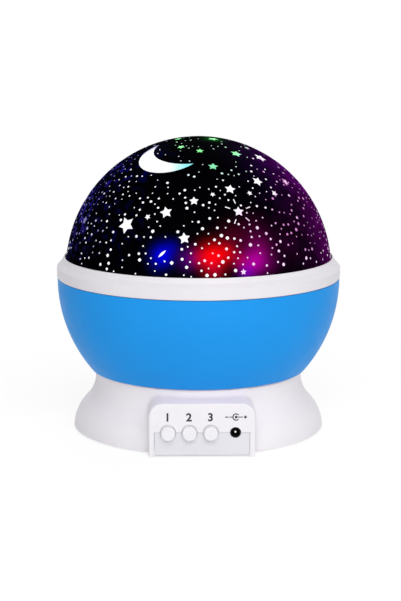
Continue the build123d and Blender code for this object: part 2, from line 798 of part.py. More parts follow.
shaft_bottom = deck_underside - shaft_bearing + shaft_end_gap
with BuildPart() as motor_shaft:
    with BuildSketch(Plane.XY.offset(shaft_bottom)):
        with Locations((0, -centre_distance)):
            Circle(motor_shaft_radius)
    extrude(amount=gear_bottom + gear_thickness - shaft_end_gap - shaft_bottom)
motor_shaft.part.label = "motor_shaft"
export_step(motor_shaft.part, "parts/motor_shaft.step")

# the pinion faces the wheel's tooth gap; each tooth of the wheel meets a gap of the pinion
pinion_blank = make_gear(pinion_teeth, gear_thickness, 90 + 180 / pinion_teeth)
with BuildPart() as motor_pinion:
    with Locations((0, -centre_distance, gear_bottom)):
        add(pinion_blank)
    with BuildSketch(Plane.XY.offset(gear_bottom)):
        with Locations((0, -centre_distance)):
            Circle(pinion_hub_radius)
    extrude(amount=-pinion_hub)
    with BuildSketch(Plane.XY.offset(gear_bottom - pinion_hub)):
        with Locations((0, -centre_distance)):
            Circle(motor_shaft_radius + thread_gap)
    extrude(amount=gear_thickness + pinion_hub, mode=Mode.SUBTRACT)
motor_pinion.part.label = "motor_pinion"
export_step(motor_pinion.part, "parts/motor_pinion.step")

# ======== spindle: flange, journal, cable column ========
clip_groove_radius = spindle_radius - clip_groove_depth
with BuildPart() as spindle:
    with BuildSketch(Plane.XY.offset(deck_height)):
        Circle(spindle_flange_radius)
    extrude(amount=spindle_flange)
    with BuildSketch(Plane.XY.offset(deck_height)):
        Circle(spindle_radius)
    extrude(amount=journal_top - deck_height)
    with BuildSketch(Plane.XY.offset(journal_top)):
        Circle(column_radius)
    extrude(amount=column_height - journal_top)
    with BuildSketch(Plane.XY.offset(column_height)):
        Circle(spindle_radius)
    extrude(amount=-column_head)
    step_edges = spindle.edges().filter_by_position(
        Axis.Z, journal_top - sliver, journal_top + sliver
    )
    chamfer(step_edges.sort_by(SortBy.LENGTH)[-1], journal_chamfer)
    with BuildSketch(Plane.XY.offset(clip_bottom)):
        Circle(spindle_radius)
        Circle(clip_groove_radius, mode=Mode.SUBTRACT)
    extrude(amount=clip_thickness + clip_play, mode=Mode.SUBTRACT)
    with BuildSketch(Plane.XY.offset(deck_height)):
        Circle(spindle_bore)
    extrude(amount=column_height - deck_height, mode=Mode.SUBTRACT)
    with BuildSketch(Plane.XY.offset(column_height)):
        with PolarLocations(light_screw_circle, 2):
            Circle(light_screw[2] + thread_gap)
    extrude(amount=-column_head, mode=Mode.SUBTRACT)
    with BuildSketch(Plane.XY.offset(washer_bottom)):
        with PolarLocations(hub_radius, 3, start_angle=90):
            Circle(post_screw[0] + head_gap)
    extrude(amount=-post_screw[1] - running_clearance, mode=Mode.SUBTRACT)
    with BuildSketch(Plane.XY.offset(washer_bottom)):
        with PolarLocations(hub_radius, 3, start_angle=90):
            Circle(post_screw[2] + fit_gap)
    extrude(amount=-spindle_flange, mode=Mode.SUBTRACT)
spindle.part.label = "spindle"
export_step(spindle.part, "parts/spindle.step")

post_screw_part = make_screw(*post_screw)
with BuildPart() as spindle_screws:
    for turn in screw_turns:
        x, y = hub_radius * cos(radians(turn)), hub_radius * sin(radians(turn))
        with Locations(Location((x, y, washer_bottom - running_clearance), (180, 0, 0))):
            add(post_screw_part)
spindle_screws.part.label = "spindle_screws"
export_step(spindle_screws.part, "parts/spindle_screws.step")

with BuildPart() as thrust_washer:
    with BuildSketch(Plane.XY.offset(washer_bottom)):
        Circle(spindle_flange_radius - washer_inset)
        Circle(spindle_radius + fit_gap / 2, mode=Mode.SUBTRACT)
    extrude(amount=washer_thickness)
thrust_washer.part.label = "thrust_washer"
export_step(thrust_washer.part, "parts/thrust_washer.step")

# open ring in the spindle's groove, above the bowl's hub
with BuildPart() as retaining_ring:
    with BuildSketch(Plane.XY.offset(clip_bottom)):
        Circle(hub_radius - clip_inset)
        Circle(clip_groove_radius + running_clearance, mode=Mode.SUBTRACT)
        with Locations((0, -clip_groove_radius)):
            Rectangle(clip_groove_radius, 4 * clip_groove_radius / 3, mode=Mode.SUBTRACT)
    extrude(amount=clip_thickness)
retaining_ring.part.label = "retaining_ring"
export_step(retaining_ring.part, "parts/retaining_ring.step")

# ======== light board, its screws and four lamps on top of the column ========
light_board_top = column_height + light_board_thickness
with BuildPart() as light_board:
    with BuildSketch(Plane.XY.offset(column_height)):
        Circle(light_board_radius)
        with PolarLocations(light_board_radius - light_hole_inset, 2):
            Circle(light_hole_radius, mode=Mode.SUBTRACT)
        with PolarLocations(light_screw_circle, 2):
            Circle(light_screw[2] + head_gap, mode=Mode.SUBTRACT)
    extrude(amount=light_board_thickness)
light_board.part.label = "light_board"
export_step(light_board.part, "parts/light_board.step")

light_screw_part = make_screw(*light_screw)
with BuildPart() as light_board_screws:
    for x in (-light_screw_circle, light_screw_circle):
        with Locations(Location((x, 0, light_board_top + light_screw[1]), (180, 0, 0))):
            add(light_screw_part)
light_board_screws.part.label = "light_board_screws"
export_step(light_board_screws.part, "parts/light_board_screws.step")

lamp_names = ("white", "red", "green", "blue")
for number, name in enumerate(lamp_names):
    turn = radians(45 + 90 * number)
    centre = (led_circle * cos(turn), led_circle * sin(turn))
    with BuildPart() as lamp:
        with BuildSketch(Plane.XY.offset(light_board_top)):
            with Locations(centre):
                Circle(led_radius + led_flange)
        extrude(amount=led_flange_height)
        with BuildSketch(Plane.XY.offset(light_board_top)):
            with Locations(centre):
                Circle(led_radius)
        extrude(amount=led_height)
        fillet(lamp.edges().sort_by(Axis.Z)[-1], led_radius - head_gap)
    lamp.part.label = f"lamp_{name}"
    export_step(lamp.part, f"parts/lamp_{name}.step")

# ======== bowl: turning shell with hub, floor and rim ledge ========
inner_radius = bowl_radius - bowl_wall
floor_top = bowl_floor + bowl_wall
shelf_outer_radius = sqrt(inner_radius**2 - (bowl_centre - shelf_bottom) ** 2)
floor_inner_radius = sqrt(inner_radius**2 - (bowl_depth - bowl_wall) ** 2)
shelf_inner = ledge_inner - shelf_width
gear_screw_circle = hub_radius + small_screw[0] + gear_screw_gap
reflector_screw_circle = shelf_inner + small_screw[0] + fit_gap
middle_z = (floor_top + shelf_bottom) / 2
outer_middle_z = (bowl_floor + bowl_centre) / 2


# radius of a sphere about the bowl's centre at a height
def sphere_radius_at(radius, height):
    return sqrt(radius**2 - (bowl_centre - height) ** 2)


with BuildPart() as bowl:
    with BuildSketch(Plane.XZ):
        with BuildLine():
            ThreePointArc(
                (bowl_floor_radius, bowl_floor),
                (sphere_radius_at(bowl_radius, outer_middle_z), outer_middle_z),
                (bowl_radius, bowl_centre),
            )
            Polyline(
                (bowl_radius, bowl_centre),
                (bowl_radius, bowl_rim_height),
                (rim_bore, bowl_rim_height),
                (rim_bore, shelf_top),
                (ledge_outer, shelf_top),
                (ledge_outer, seat_height),
                (ledge_inner, seat_height),
                (ledge_inner, shelf_top),
                (shelf_inner, shelf_top),
                (shelf_inner, shelf_bottom),
                (shelf_outer_radius, shelf_bottom),
            )
            ThreePointArc(
                (shelf_outer_radius, shelf_bottom),
                (sphere_radius_at(inner_radius, middle_z), middle_z),
                (floor_inner_radius, floor_top),
            )
            Polyline(
                (floor_inner_radius, floor_top),
                (hub_radius, floor_top),
                (hub_radius, hub_top),
                (spindle_radius + running_clearance, hub_top),
                (spindle_radius + running_clearance, hub_bottom),
                (hub_radius, hub_bottom),
                (hub_radius, bowl_floor),
                (bowl_floor_radius, bowl_floor),
            )
        make_face()
    revolve(axis=Axis.Z)
    floor_edges = bowl.edges().filter_by_position(Axis.Z, bowl_floor - sliver, bowl_floor + sliver)
    fillet(floor_edges.sort_by(SortBy.LENGTH)[-1], floor_round)
    # groove that takes the collar's bead
    with BuildSketch(Plane.XZ):
        with Locations((rim_bore - sliver, collar_skirt_bottom + bead_rise - bead_play)):
            Rectangle(collar_bead + sliver, bead_groove, align=(Align.MIN, Align.MIN))
    revolve(axis=Axis.Z, mode=Mode.SUBTRACT)
    # bosses for the gear screws, on the floor
    with BuildSketch(Plane.XY.offset(floor_top)):
        with PolarLocations(gear_screw_circle, 3, start_angle=30):
            Circle(small_screw[2] + boss_wall)
    extrude(amount=gear_boss_height)
    with BuildSketch(Plane.XY.offset(bowl_floor)):
        with PolarLocations(gear_screw_circle, 3, start_angle=30):
            Circle(small_screw[2] + thread_gap)
    extrude(amount=bowl_wall + gear_hole_depth, mode=Mode.SUBTRACT)
    # bosses for the reflector screws, under the shelf
    with BuildSketch(Plane.XY.offset(shelf_bottom)):
        with PolarLocations(reflector_screw_circle, 3, start_angle=90):
            Circle(small_screw[2] + boss_wall)
    extrude(amount=-shelf_boss_depth)
    with BuildSketch(Plane.XY.offset(shelf_top)):
        with PolarLocations(reflector_screw_circle, 3, start_angle=90):
            Circle(small_screw[2] + thread_gap)
    extrude(amount=-ledge_web - shelf_hole_depth, mode=Mode.SUBTRACT)
    # keys that stop the dome turning on its seat
    for turn in (0, 180):
        key_start = radians(turn - key_angle / 2)
        with BuildSketch(
            Plane(
                origin=(0, 0, 0),
                x_dir=(cos(key_start), sin(key_start), 0),
                z_dir=(sin(key_start), -cos(key_start), 0),
            )
        ):
            with Locations((ledge_inner + key_inset, seat_height)):
                Rectangle(dome_wall - 2 * fit_gap, key_height, align=(Align.MIN, Align.MIN))
        revolve(axis=Axis.Z, revolution_arc=key_angle)
bowl.part.label = "bowl"
export_step(bowl.part, "parts/bowl.step")

# ======== gear under the bowl's floor ========
wheel_blank = make_gear(gear_teeth, gear_thickness, -90)
with BuildPart() as drive_gear:
    with Locations((0, 0, gear_bottom)):
        add(wheel_blank)
    with BuildSketch(Plane.XY.offset(gear_bottom + gear_thickness)):
        Circle(gear_screw_circle + small_screw[0])
    extrude(amount=bowl_floor - gear_bottom - gear_thickness)
    with BuildSketch(Plane.XY.offset(gear_bottom)):
        Circle(hub_radius + running_clearance)
    extrude(amount=bowl_floor - gear_bottom, mode=Mode.SUBTRACT)
    with BuildSketch(Plane.XY.offset(gear_bottom)):
        with PolarLocations(gear_screw_circle, 3, start_angle=30):
            Circle(small_screw[0] + head_gap)
    extrude(amount=small_screw[1] + head_gap, mode=Mode.SUBTRACT)
    with BuildSketch(Plane.XY.offset(gear_bottom)):
        with PolarLocations(gear_screw_circle, 3, start_angle=30):
            Circle(small_screw[2] + fit_gap)
    extrude(amount=bowl_floor - gear_bottom, mode=Mode.SUBTRACT)
drive_gear.part.label = "drive_gear"
export_step(drive_gear.part, "parts/drive_gear.step")

long_screw_part = make_screw(*small_screw[:3], gear_screw_length)
with BuildPart() as gear_screws:
    with Locations((0, 0, gear_bottom + head_gap)):
        with PolarLocations(gear_screw_circle, 3, start_angle=30):
            add(long_screw_part)
gear_screws.part.label = "gear_screws"
export_step(gear_screws.part, "parts/gear_screws.step")

# ======== reflector dish on the bowl's shelf ========
reflector_rim = ledge_inner - fit_gap
reflector_top = shelf_top + reflector_thickness
dish_start = shelf_inner - dish_inset
with BuildPart() as reflector:
    with BuildSketch(Plane.XZ):
        with BuildLine():
            Polyline(
                (reflector_rim, shelf_top),
                (reflector_rim, reflector_top),
                (dish_start, reflector_top),
                (reflector_hole, reflector_top - reflector_sink),
                (reflector_hole, shelf_top - reflector_sink),
                (dish_start, shelf_top),
                close=True,
            )
        make_face()
    revolve(axis=Axis.Z)
    with BuildSketch(Plane.XY.offset(shelf_top)):
        with PolarLocations(reflector_screw_circle, 3, start_angle=90):
            Circle(small_screw[2] + fit_gap)
    extrude(amount=reflector_thickness, mode=Mode.SUBTRACT)
reflector.part.label = "reflector"
export_step(reflector.part, "parts/reflector.step")

with BuildPart() as reflector_screws:
    for turn in screw_turns:
        x = reflector_screw_circle * cos(radians(turn))
        y = reflector_screw_circle * sin(radians(turn))
        with Locations(Location((x, y, reflector_top + small_screw[1]), (180, 0, 0))):
            add(small_screw_part)
reflector_screws.part.label = "reflector_screws"
export_step(reflector_screws.part, "parts/reflector_screws.step")

# ======== collar: stepped bayonet ring that turns on the bowl ========
band_top = collar_bottom + band_height
shoulder_top = band_top + band_shoulder[1]
lip_top = shoulder_top + lip[1]
lug_turns = [30 + 360 * n / lug_count for n in range(lug_count)]


# Part of a ring about the axis, as a solid: radii, heights, and the turn it covers.
def make_ring_sector(radii, heights, start, sweep_angle):
    begin = radians(start)
    with BuildPart() as sector:
        with BuildSketch(
            Plane(
                origin=(0, 0, 0),
                x_dir=(cos(begin), sin(begin), 0),
                z_dir=(sin(begin), -cos(begin), 0),
            )
        ):
            with Locations((radii[0], heights[0])):
                Rectangle(
                    radii[1] - radii[0], heights[1] - heights[0], align=(Align.MIN, Align.MIN)
                )
        revolve(axis=Axis.Z, revolution_arc=sweep_angle)
    return sector.part


lug_tip = collar_bore - lug_reach
lug_parts = [
    make_ring_sector(
        (lug_tip, collar_bore + lug_root),
        (lug_bottom, lug_bottom + lug_height),
        turn - lug_angle / 2,
        lug_angle,
    )
    for turn in lug_turns
]
with BuildPart() as collar_ring:
    with BuildSketch(Plane.XZ):
        with BuildLine():
            Polyline(
                (collar_bore, collar_skirt_bottom),
                (collar_bore, lip_top),
                (collar_bore + lip[0], lip_top),
                (collar_bore + band_shoulder[0], shoulder_top),
                (collar_radius, band_top),
                (collar_radius, collar_bottom),
                (skirt_outer, collar_bottom),
                (skirt_outer, collar_skirt_bottom),
                close=True,
            )
        make_face()
        with Locations((skirt_outer, collar_skirt_bottom + bead_rise)):
            Rectangle(collar_bead - fit_gap, bead_height, align=(Align.MIN, Align.MIN))
    revolve(axis=Axis.Z)
    fillet(collar_ring.edges().group_by(SortBy.LENGTH)[-1], edge_round)
    for lug in lug_parts:
        add(lug)
collar_ring.part.label = "collar_ring"
export_step(collar_ring.part, "parts/collar_ring.step")

# ======== dome: half sphere on a skirt with bayonet slots and key notches ========
play_angle = degrees(slot_play / dome_radius)
slot_bottom = lug_bottom - fit_gap
slot_top = lug_bottom + lug_height + fit_gap
slot_radii = (lug_tip - fit_gap, dome_radius + cutter_reach)
entry_parts = [
    make_ring_sector(
        slot_radii,
        (seat_height - sliver, slot_top),
        turn - lug_angle / 2 - play_angle,
        lug_angle + 2 * play_angle,
    )
    for turn in lug_turns
]
channel_parts = [
    make_ring_sector(
        slot_radii,
        (slot_bottom, slot_top),
        turn - lug_angle / 2 - lock_angle - play_angle,
        lock_angle + lug_angle,
    )
    for turn in lug_turns
]
notch_parts = [
    make_ring_sector(
        (dome_inner - cutter_reach, dome_radius + cutter_reach),
        (seat_height - sliver, seat_height + key_height + fit_gap),
        turn - key_angle / 2 - play_angle,
        key_angle + 2 * play_angle,
    )
    for turn in (0, 180)
]
with BuildPart() as star_dome:
    with BuildSketch(Plane.XZ):
        with BuildLine():
            CenterArc((0, dome_centre), dome_radius, 0, 90)
            CenterArc((0, dome_centre), dome_inner, 0, 90)
            Line((0, dome_centre + dome_inner), (0, dome_centre + dome_radius))
            Polyline(
                (dome_radius, dome_centre),
                (dome_radius, seat_height),
                (dome_inner, seat_height),
                (dome_inner, dome_centre),
            )
        make_face()
    revolve(axis=Axis.Z)
    for cutter in entry_parts + channel_parts + notch_parts:
        add(cutter, mode=Mode.SUBTRACT)
star_dome.part.label = "star_dome"
export_step(star_dome.part, "parts/star_dome.step")

# ======== wiring inside the base ========
under_deck = deck_underside - 1.6
pad_y = board_back_y - 1.6
cable_end_x = -14.6
wire_rise = 2.8
with BuildPart() as light_cable:
    add(
        make_wire(
            [
                (0, 0, column_height),
                (0, 0, column_height - 20),
                (0.6, 0.4, deck_height + 6),
                (-0.5, -1.0, under_deck + 1.5),
                (-5.0, -8.0, under_deck),
                (-15.0, -14.0, under_deck - 0.3),
                (-19.5, -24.0, under_deck - 2.0),
                (-18.5, -34.0, board_top + 6.5),
                (cable_end_x, pad_y, board_top + 5.0),
                (cable_end_x, pad_y, board_top),
            ],
            cable_radius,
        )
    )
light_cable.part.label = "light_cable"
export_step(light_cable.part, "parts/light_cable.step")

bay_front_y = cell_row_centre - bay_half_width - bay_wall
with BuildPart() as battery_leads:
    for start_x, end_x, bulge in ((-22.0, -12.8, 0.0), (-20.4, -11.3, 1.5)):
        add(
            make_wire(
                [
                    (start_x, bay_front_y - thread_gap, cell_height + 4.0),
                    (start_x, bay_front_y - 6.5, cell_height + 4.0),
                    (start_x - 2.0 + bulge, bay_front_y - 16.0, board_top + 2.6),
                    (end_x - 7.8 + bulge / 2, bay_front_y - 24.5 + bulge, board_top + 1.8),
                    (end_x - 1.6, pad_y + 2.6, board_top + wire_rise),
                    (end_x, pad_y, board_top + wire_rise - 0.6),
                    (end_x, pad_y, board_top),
                ],
                wire_radius,
            )
        )
battery_leads.part.label = "battery_leads"
export_step(battery_leads.part, "parts/battery_leads.step")

with BuildPart() as motor_leads:
    for x in (-1.5, 1.0):
        can_y = -centre_distance - can_radius - thread_gap
        add(
            make_wire(
                [
                    (x, can_y, gearbox_bottom - 2.6),
                    (x, can_y - 1.8, gearbox_bottom - 2.6),
                    (x + 0.1, can_y - 4.0, board_top + 3.4),
                    (x, pad_y, board_top + wire_rise),
                    (x, pad_y, board_top),
                ],
                wire_radius,
            )
        )
motor_leads.part.label = "motor_leads"
export_step(motor_leads.part, "parts/motor_leads.step")
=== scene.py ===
import math

import bmesh
import bpy
from mathutils import Matrix, Quaternion, Vector


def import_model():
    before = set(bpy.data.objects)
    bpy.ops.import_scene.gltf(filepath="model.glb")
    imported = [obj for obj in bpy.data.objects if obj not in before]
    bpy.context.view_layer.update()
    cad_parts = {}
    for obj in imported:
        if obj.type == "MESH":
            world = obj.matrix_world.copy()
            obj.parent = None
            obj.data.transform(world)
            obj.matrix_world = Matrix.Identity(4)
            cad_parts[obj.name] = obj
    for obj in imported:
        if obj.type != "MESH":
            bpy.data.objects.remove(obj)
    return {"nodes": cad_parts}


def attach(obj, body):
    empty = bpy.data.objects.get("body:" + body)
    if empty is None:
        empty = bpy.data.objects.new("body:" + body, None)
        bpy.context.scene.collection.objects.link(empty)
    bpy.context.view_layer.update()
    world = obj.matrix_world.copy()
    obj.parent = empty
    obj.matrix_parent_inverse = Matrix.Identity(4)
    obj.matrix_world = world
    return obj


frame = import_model()
nodes = frame["nodes"]
for startUp in ("Cube", "Light", "Camera"):  # the start-up scene's own
    if startUp in bpy.data.objects:
        bpy.data.objects.remove(bpy.data.objects[startUp])
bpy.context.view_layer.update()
scene = bpy.context.scene
scene.view_settings.view_transform = "Standard"
mm = 0.001
print("frame loaded:", len(nodes), "nodes")

# camera first: long lens, a little above the lamp
view = {
    "azimuth": -1.6,
    "elevation": 9.9,
    "roll": 0.1,
    "distance": 0.808,
    "aim": (0, 0, 0.070),
    "focalPixels": 1752,
    "aimPixel": (198.5, 275.1),
    "picture": (401, 601),
    "sensor": 36,
}


def linked(name, data):
    piece = bpy.data.objects.new(name, data)
    scene.collection.objects.link(piece)
    return piece


def direction(azimuth, elevation):  # degrees round from the front and up from the level
    a, e = math.radians(azimuth), math.radians(elevation)
    return Vector((math.cos(e) * math.sin(a), -math.cos(e) * math.cos(a), math.sin(e)))


def aimed(name, data, azimuth, elevation, distance):  # at the point that the camera looks at
    piece = linked(name, data)
    away = direction(azimuth, elevation)
    piece.location = Vector(view["aim"]) + away * distance
    piece.rotation_mode = "QUATERNION"
    piece.rotation_quaternion = away.to_track_quat("Z", "Y")
    return piece


data = bpy.data.cameras.new("camera")
camera = aimed("camera", data, view["azimuth"], view["elevation"], view["distance"])
camera.rotation_quaternion @= Quaternion((0, 0, 1), math.radians(view["roll"]))
width, height = view["picture"]
data.sensor_width = view["sensor"]
data.lens = view["focalPixels"] / height * view["sensor"]
data.shift_x = (width / 2 - view["aimPixel"][0]) / height
data.shift_y = (view["aimPixel"][1] - height / 2) / height
data.clip_start, data.clip_end = 0.01, 50
scene.camera = camera
print("camera ready")

# node helpers


def addNode(tree, kind, inputs=None, **settings):
    node = tree.nodes.new(kind)
    for key, value in settings.items():
        setattr(node, key, value)
    plugAll(tree, node, inputs or {})
    return node


def result(tree, kind, inputs=None, **settings):  # the new node's first output
    return addNode(tree, kind, inputs, **settings).outputs[0]


def plugAll(tree, node, values):
    for key, value in values.items():
        plug(tree, node.inputs[key], value)


def plug(tree, socket, value):
    if isinstance(value, bpy.types.NodeSocket):
        tree.links.new(value, socket)
    else:
        socket.default_value = value


def calc(tree, operation, *values):
    return result(tree, "ShaderNodeMath", dict(enumerate(values)), operation=operation)


def times(tree, first, second):
    return calc(tree, "MULTIPLY", first, second)


def vecCalc(tree, operation, *values):
    inputs = dict(enumerate(values))
    node = addNode(tree, "ShaderNodeVectorMath", inputs, operation=operation)
    return node.outputs["Value" if operation in ("LENGTH", "DISTANCE") else 0]


def scaled(tree, vector, factor):
    inputs = {0: vector, "Scale": factor}
    return result(tree, "ShaderNodeVectorMath", inputs, operation="SCALE")


def between(tree, value, low, high, start=0.0, end=1.0):  # smooth step from low to high
    inputs = {"Value": value, "From Min": low, "From Max": high, "To Min": start, "To Max": end}
    return result(tree, "ShaderNodeMapRange", inputs, interpolation_type="SMOOTHSTEP")


def noise(tree, spot, scale, detail=2.0, rough=0.5):
    inputs = {"Vector": spot, "Scale": scale, "Detail": detail, "Roughness": rough}
    return result(tree, "ShaderNodeTexNoise", inputs)


noiseSpan = (0.2, 0.8)  # nearly all of a noise lies in it


def spanned(tree, pattern, low, high):  # a noise stretched over a range of its own
    return between(tree, pattern, *noiseSpan, low, high)


def blendColor(tree, factor, first, second):
    inputs = {0: factor, 6: first, 7: second}  # the colours' sockets among the others
    return addNode(tree, "ShaderNodeMix", inputs, data_type="RGBA").outputs[2]


def newGroup(name, inputs, outputs, family="Shader"):
    tree = bpy.data.node_groups.new(name, family + "NodeTree")
    for label, kind, value in inputs:
        socket = tree.interface.new_socket(label, in_out="INPUT", socket_type="NodeSocket" + kind)
        if value is not None:
            socket.default_value = value
    for label, kind in outputs:
        tree.interface.new_socket(label, in_out="OUTPUT", socket_type="NodeSocket" + kind)
    return tree, tree.nodes.new("NodeGroupInput").outputs, tree.nodes.new("NodeGroupOutput").inputs


def useGroup(tree, group, inputs):
    node = tree.nodes.new("ShaderNodeGroup")
    node.node_tree = group
    plugAll(tree, node, inputs)
    return node.outputs


def place(tree):
    return tree.nodes.new("ShaderNodeTexCoord").outputs["Object"]


def axes(tree, spot):
    return addNode(tree, "ShaderNodeSeparateXYZ", {0: spot}).outputs


# shader groups that several finishes share

# moulded plastic: cloudy colour, fine grain and rubbed patches
mouldedSkin, given, made = newGroup(
    "mouldedSkin",
    [
        ("Color", "Color", (0.8, 0.8, 0.8, 1)),
        ("Variation", "Float", 0.04),
        ("Grain Scale", "Float", 1500.0),
        ("Rough Low", "Float", 0.3),
        ("Rough High", "Float", 0.4),
    ],
    [("Color", "Color"), ("Roughness", "Float"), ("Height", "Float")],
)
skin = {  # scale, detail and roughness of each noise
    "cloud": (42.0, 3.0, 0.6),
    "rub": (130.0, 4.0, 0.65),
    "rubEdge": (0.35, 0.7),
    "grain": (2.0, 0.55),
}
t = mouldedSkin
spot = place(t)
cloud = calc(t, "SUBTRACT", noise(t, spot, *skin["cloud"]), 0.5)
shift = times(t, cloud, given["Variation"])
plug(t, made["Color"], scaled(t, given["Color"], calc(t, "ADD", shift, 1.0)))
rubbed = between(t, noise(t, spot, *skin["rub"]), *skin["rubEdge"])
spread = calc(t, "SUBTRACT", given["Rough High"], given["Rough Low"])
plug(t, made["Roughness"], calc(t, "MULTIPLY_ADD", rubbed, spread, given["Rough Low"]))
plug(t, made["Height"], noise(t, spot, given["Grain Scale"], *skin["grain"]))

# hair scratches, as on a handled part: long thin streaks in two directions
hairLines, given, made = newGroup(
    "hairLines",
    [("Scale", "Float", 60.0), ("Amount", "Float", 0.5)],
    [("Mask", "Float")],
)
hair = {"turns": ((0.3, 0.2, 0.4), (1.1, 0.7, 2.2)), "stretch": (1, 22, 1), "edge": (0.70, 0.74)}
t = hairLines
spot = place(t)
masks = []
for turn in hair["turns"]:
    inputs = {"Vector": spot, "Rotation": turn, "Scale": hair["stretch"]}
    turned = result(t, "ShaderNodeMapping", inputs)
    lines = noise(t, scaled(t, turned, given["Scale"]), 1.0, 1.0, 0.4)
    masks.append(between(t, lines, *hair["edge"]))
plug(t, made["Mask"], times(t, calc(t, "MAXIMUM", *masks), given["Amount"]))

# painted light of the lamps on the dome: soft spots of emission round points of its skin
domeShape = {"centre": 73 * mm, "radius": 61 * mm, "wall": 2 * mm, "lift": 0.03 * mm}
lampSpots = [  # azimuth, elevation, reach in mm, colour
    (-17, 14.6, 4, (0, 0, 0.74)),
    (-13, 18, 3, (0, 0, 0.2)),
    (-19, 10, 3.4, (0, 0, 0.035)),
    (-6, 13.5, 4.2, (0.04, 0, 0.13)),
    (4, 14.8, 4.6, (0.98, 0, 0.002)),
    (9.8, 15.8, 4, (0.52, 0, 0)),
    (4.5, 9.4, 4, (0.3, 0, 0.015)),
    (-1.5, 14, 3.5, (0.28, 0, 0)),
    (14.5, 21, 6.6, (0.048, 0, 0.009)),
    (16, 12.5, 3.6, (0.26, 0, 0.03)),
    (22.5, 11.8, 4.8, (0.36, 0, 0.28)),
    (18.5, 8, 3.4, (0.1, 0, 0.3)),
    (25, 17, 5.4, (0.12, 0, 0.065)),
    (24, 25, 6, (0.022, 0, 0.01)),
    (29.5, 11, 4.6, (0.05, 0, 0.035)),
    (47.7, 82, 3.4, (0, 0.1, 0.01)),
    (118, 16, 7, (0.4, 0, 0.34)),
    (152, 14, 7, (0, 0.42, 0.03)),
    (160, 19, 4.5, (0, 0.24, 0.01)),
    (178, 12, 6.5, (0.02, 0.26, 0.32)),
    (-150, 13, 6.4, (0, 0, 0.95)),
    (-144, 18, 4.5, (0, 0, 0.4)),
    (-112, 15, 7, (0.24, 0, 0.62)),
]
# painted haze: broad soft glows of emission round the dome's sides
hazeSpots = [
    (94, 20, 27, (0.092, 0, 0.1)),
    (90, 48, 17, (0.055, 0, 0.085)),
    (66, 58, 13, (0.002, 0, 0.014)),
    (48, 45, 13, (0.001, 0, 0.006)),
    (70, 16, 9, (0.022, 0, 0.026)),
    (39, 18.5, 9, (0.012, 0, 0.009)),
    (-86, 24, 19, (0.009, 0.006, 0.095)),
    (-82, 46, 15, (0.004, 0.002, 0.07)),
    (-52, 55, 12, (0, 0, 0.02)),
    (-38, 24, 9, (0, 0, 0.012)),
    (128, 30, 24, (0.03, 0, 0.055)),
    (-140, 30, 26, (0.004, 0.002, 0.065)),
    (170, 25, 22, (0, 0.012, 0.022)),
]


def domePoint(azimuth, elevation):
    centre = Vector((0, 0, domeShape["centre"]))
    return centre + direction(azimuth, elevation) * domeShape["radius"]


def sumSpots(tree, spot, spots):
    total = None
    for azimuth, elevation, reach, color in spots:
        away = vecCalc(tree, "DISTANCE", spot, tuple(domePoint(azimuth, elevation)))
        near = calc(tree, "DIVIDE", away, reach * mm)
        fall = calc(tree, "EXPONENT", times(tree, calc(tree, "POWER", near, 2.0), -1.0))
        tint = scaled(tree, color, fall)
        total = tint if total is None else vecCalc(tree, "ADD", total, tint)
    return total


lampGlow, given, made = newGroup(
    "lampGlow", [("Mottle", "Float", 0.6)], [("Color", "Color"), ("Haze", "Color")]
)
mottle = {  # a noise, then its range and the brightness at its ends: blotchy left, smooth right
    "smooth": (150.0, 3.0, 0.7),
    "smoothRange": (0.30, 0.70, 0.45, 1.5),
    "blotch": (300.0, 1.5, 0.5),
    "blotchRange": (0.53, 0.68, 0.06, 3.0),
    "change": (-20 * mm, 20 * mm),
}
t = lampGlow
spot = place(t)
plug(t, made["Color"], sumSpots(t, spot, lampSpots))
side = axes(t, spot)[0]
smooth = between(t, noise(t, spot, *mottle["smooth"]), *mottle["smoothRange"])
blotch = between(t, noise(t, spot, *mottle["blotch"]), *mottle["blotchRange"])
change = between(t, side, *mottle["change"])
mixed = calc(t, "ADD", blotch, times(t, change, calc(t, "SUBTRACT", smooth, blotch)))
dim = calc(t, "SUBTRACT", 1.0, given["Mottle"])
share = calc(t, "MULTIPLY_ADD", mixed, given["Mottle"], dim)
plug(t, made["Haze"], scaled(t, sumSpots(t, spot, hazeSpots), share))

# finishes


def newMaterial(name, **settings):
    material = bpy.data.materials.new(name)
    material.use_nodes = True
    tree = material.node_tree
    shader = tree.nodes["Principled BSDF"]
    for key, value in settings.items():
        shader.inputs[key].default_value = value
    return material, tree, shader


def addBump(tree, shader, height, depth):
    bump = result(tree, "ShaderNodeBump", {"Height": height, "Distance": depth})
    plug(tree, shader.inputs["Normal"], bump)


def useSkin(tree, color, variation, grain, rough):
    inputs = {"Color": (*color, 1), "Variation": variation, "Grain Scale": grain}
    inputs |= {"Rough Low": rough[0], "Rough High": rough[1]}
    return useGroup(tree, mouldedSkin, inputs)


def mouldedPlastic(
    name, color, rough, variation=0.04, grain=1500.0, depth=0.006, lines=0.0, bounce=None, **more
):
    material, tree, shader = newMaterial(name, **more)
    skin = useSkin(tree, color, variation, grain, rough)
    paint = skin["Color"]
    if bounce:  # what it throws on its neighbours, paler than the paint itself
        thrown = tree.nodes.new("ShaderNodeLightPath").outputs["Is Diffuse Ray"]
        paint = blendColor(tree, thrown, paint, (*bounce, 1))
    roughness = skin["Roughness"]
    if lines:
        scratch = useGroup(tree, hairLines, {"Scale": 60.0, "Amount": lines})["Mask"]
        roughness = calc(tree, "ADD", roughness, scratch)
    plugAll(tree, shader, {"Base Color": paint, "Roughness": roughness})
    addBump(tree, shader, skin["Height"], depth * mm)
    return material


metalGrain = {
    "streak": (900.0, 3.0, 0.6),
    "stain": (160.0, 3.0, 0.6),
    "shades": (0.86, 1.05),
    "depth": 0.004 * mm,
}


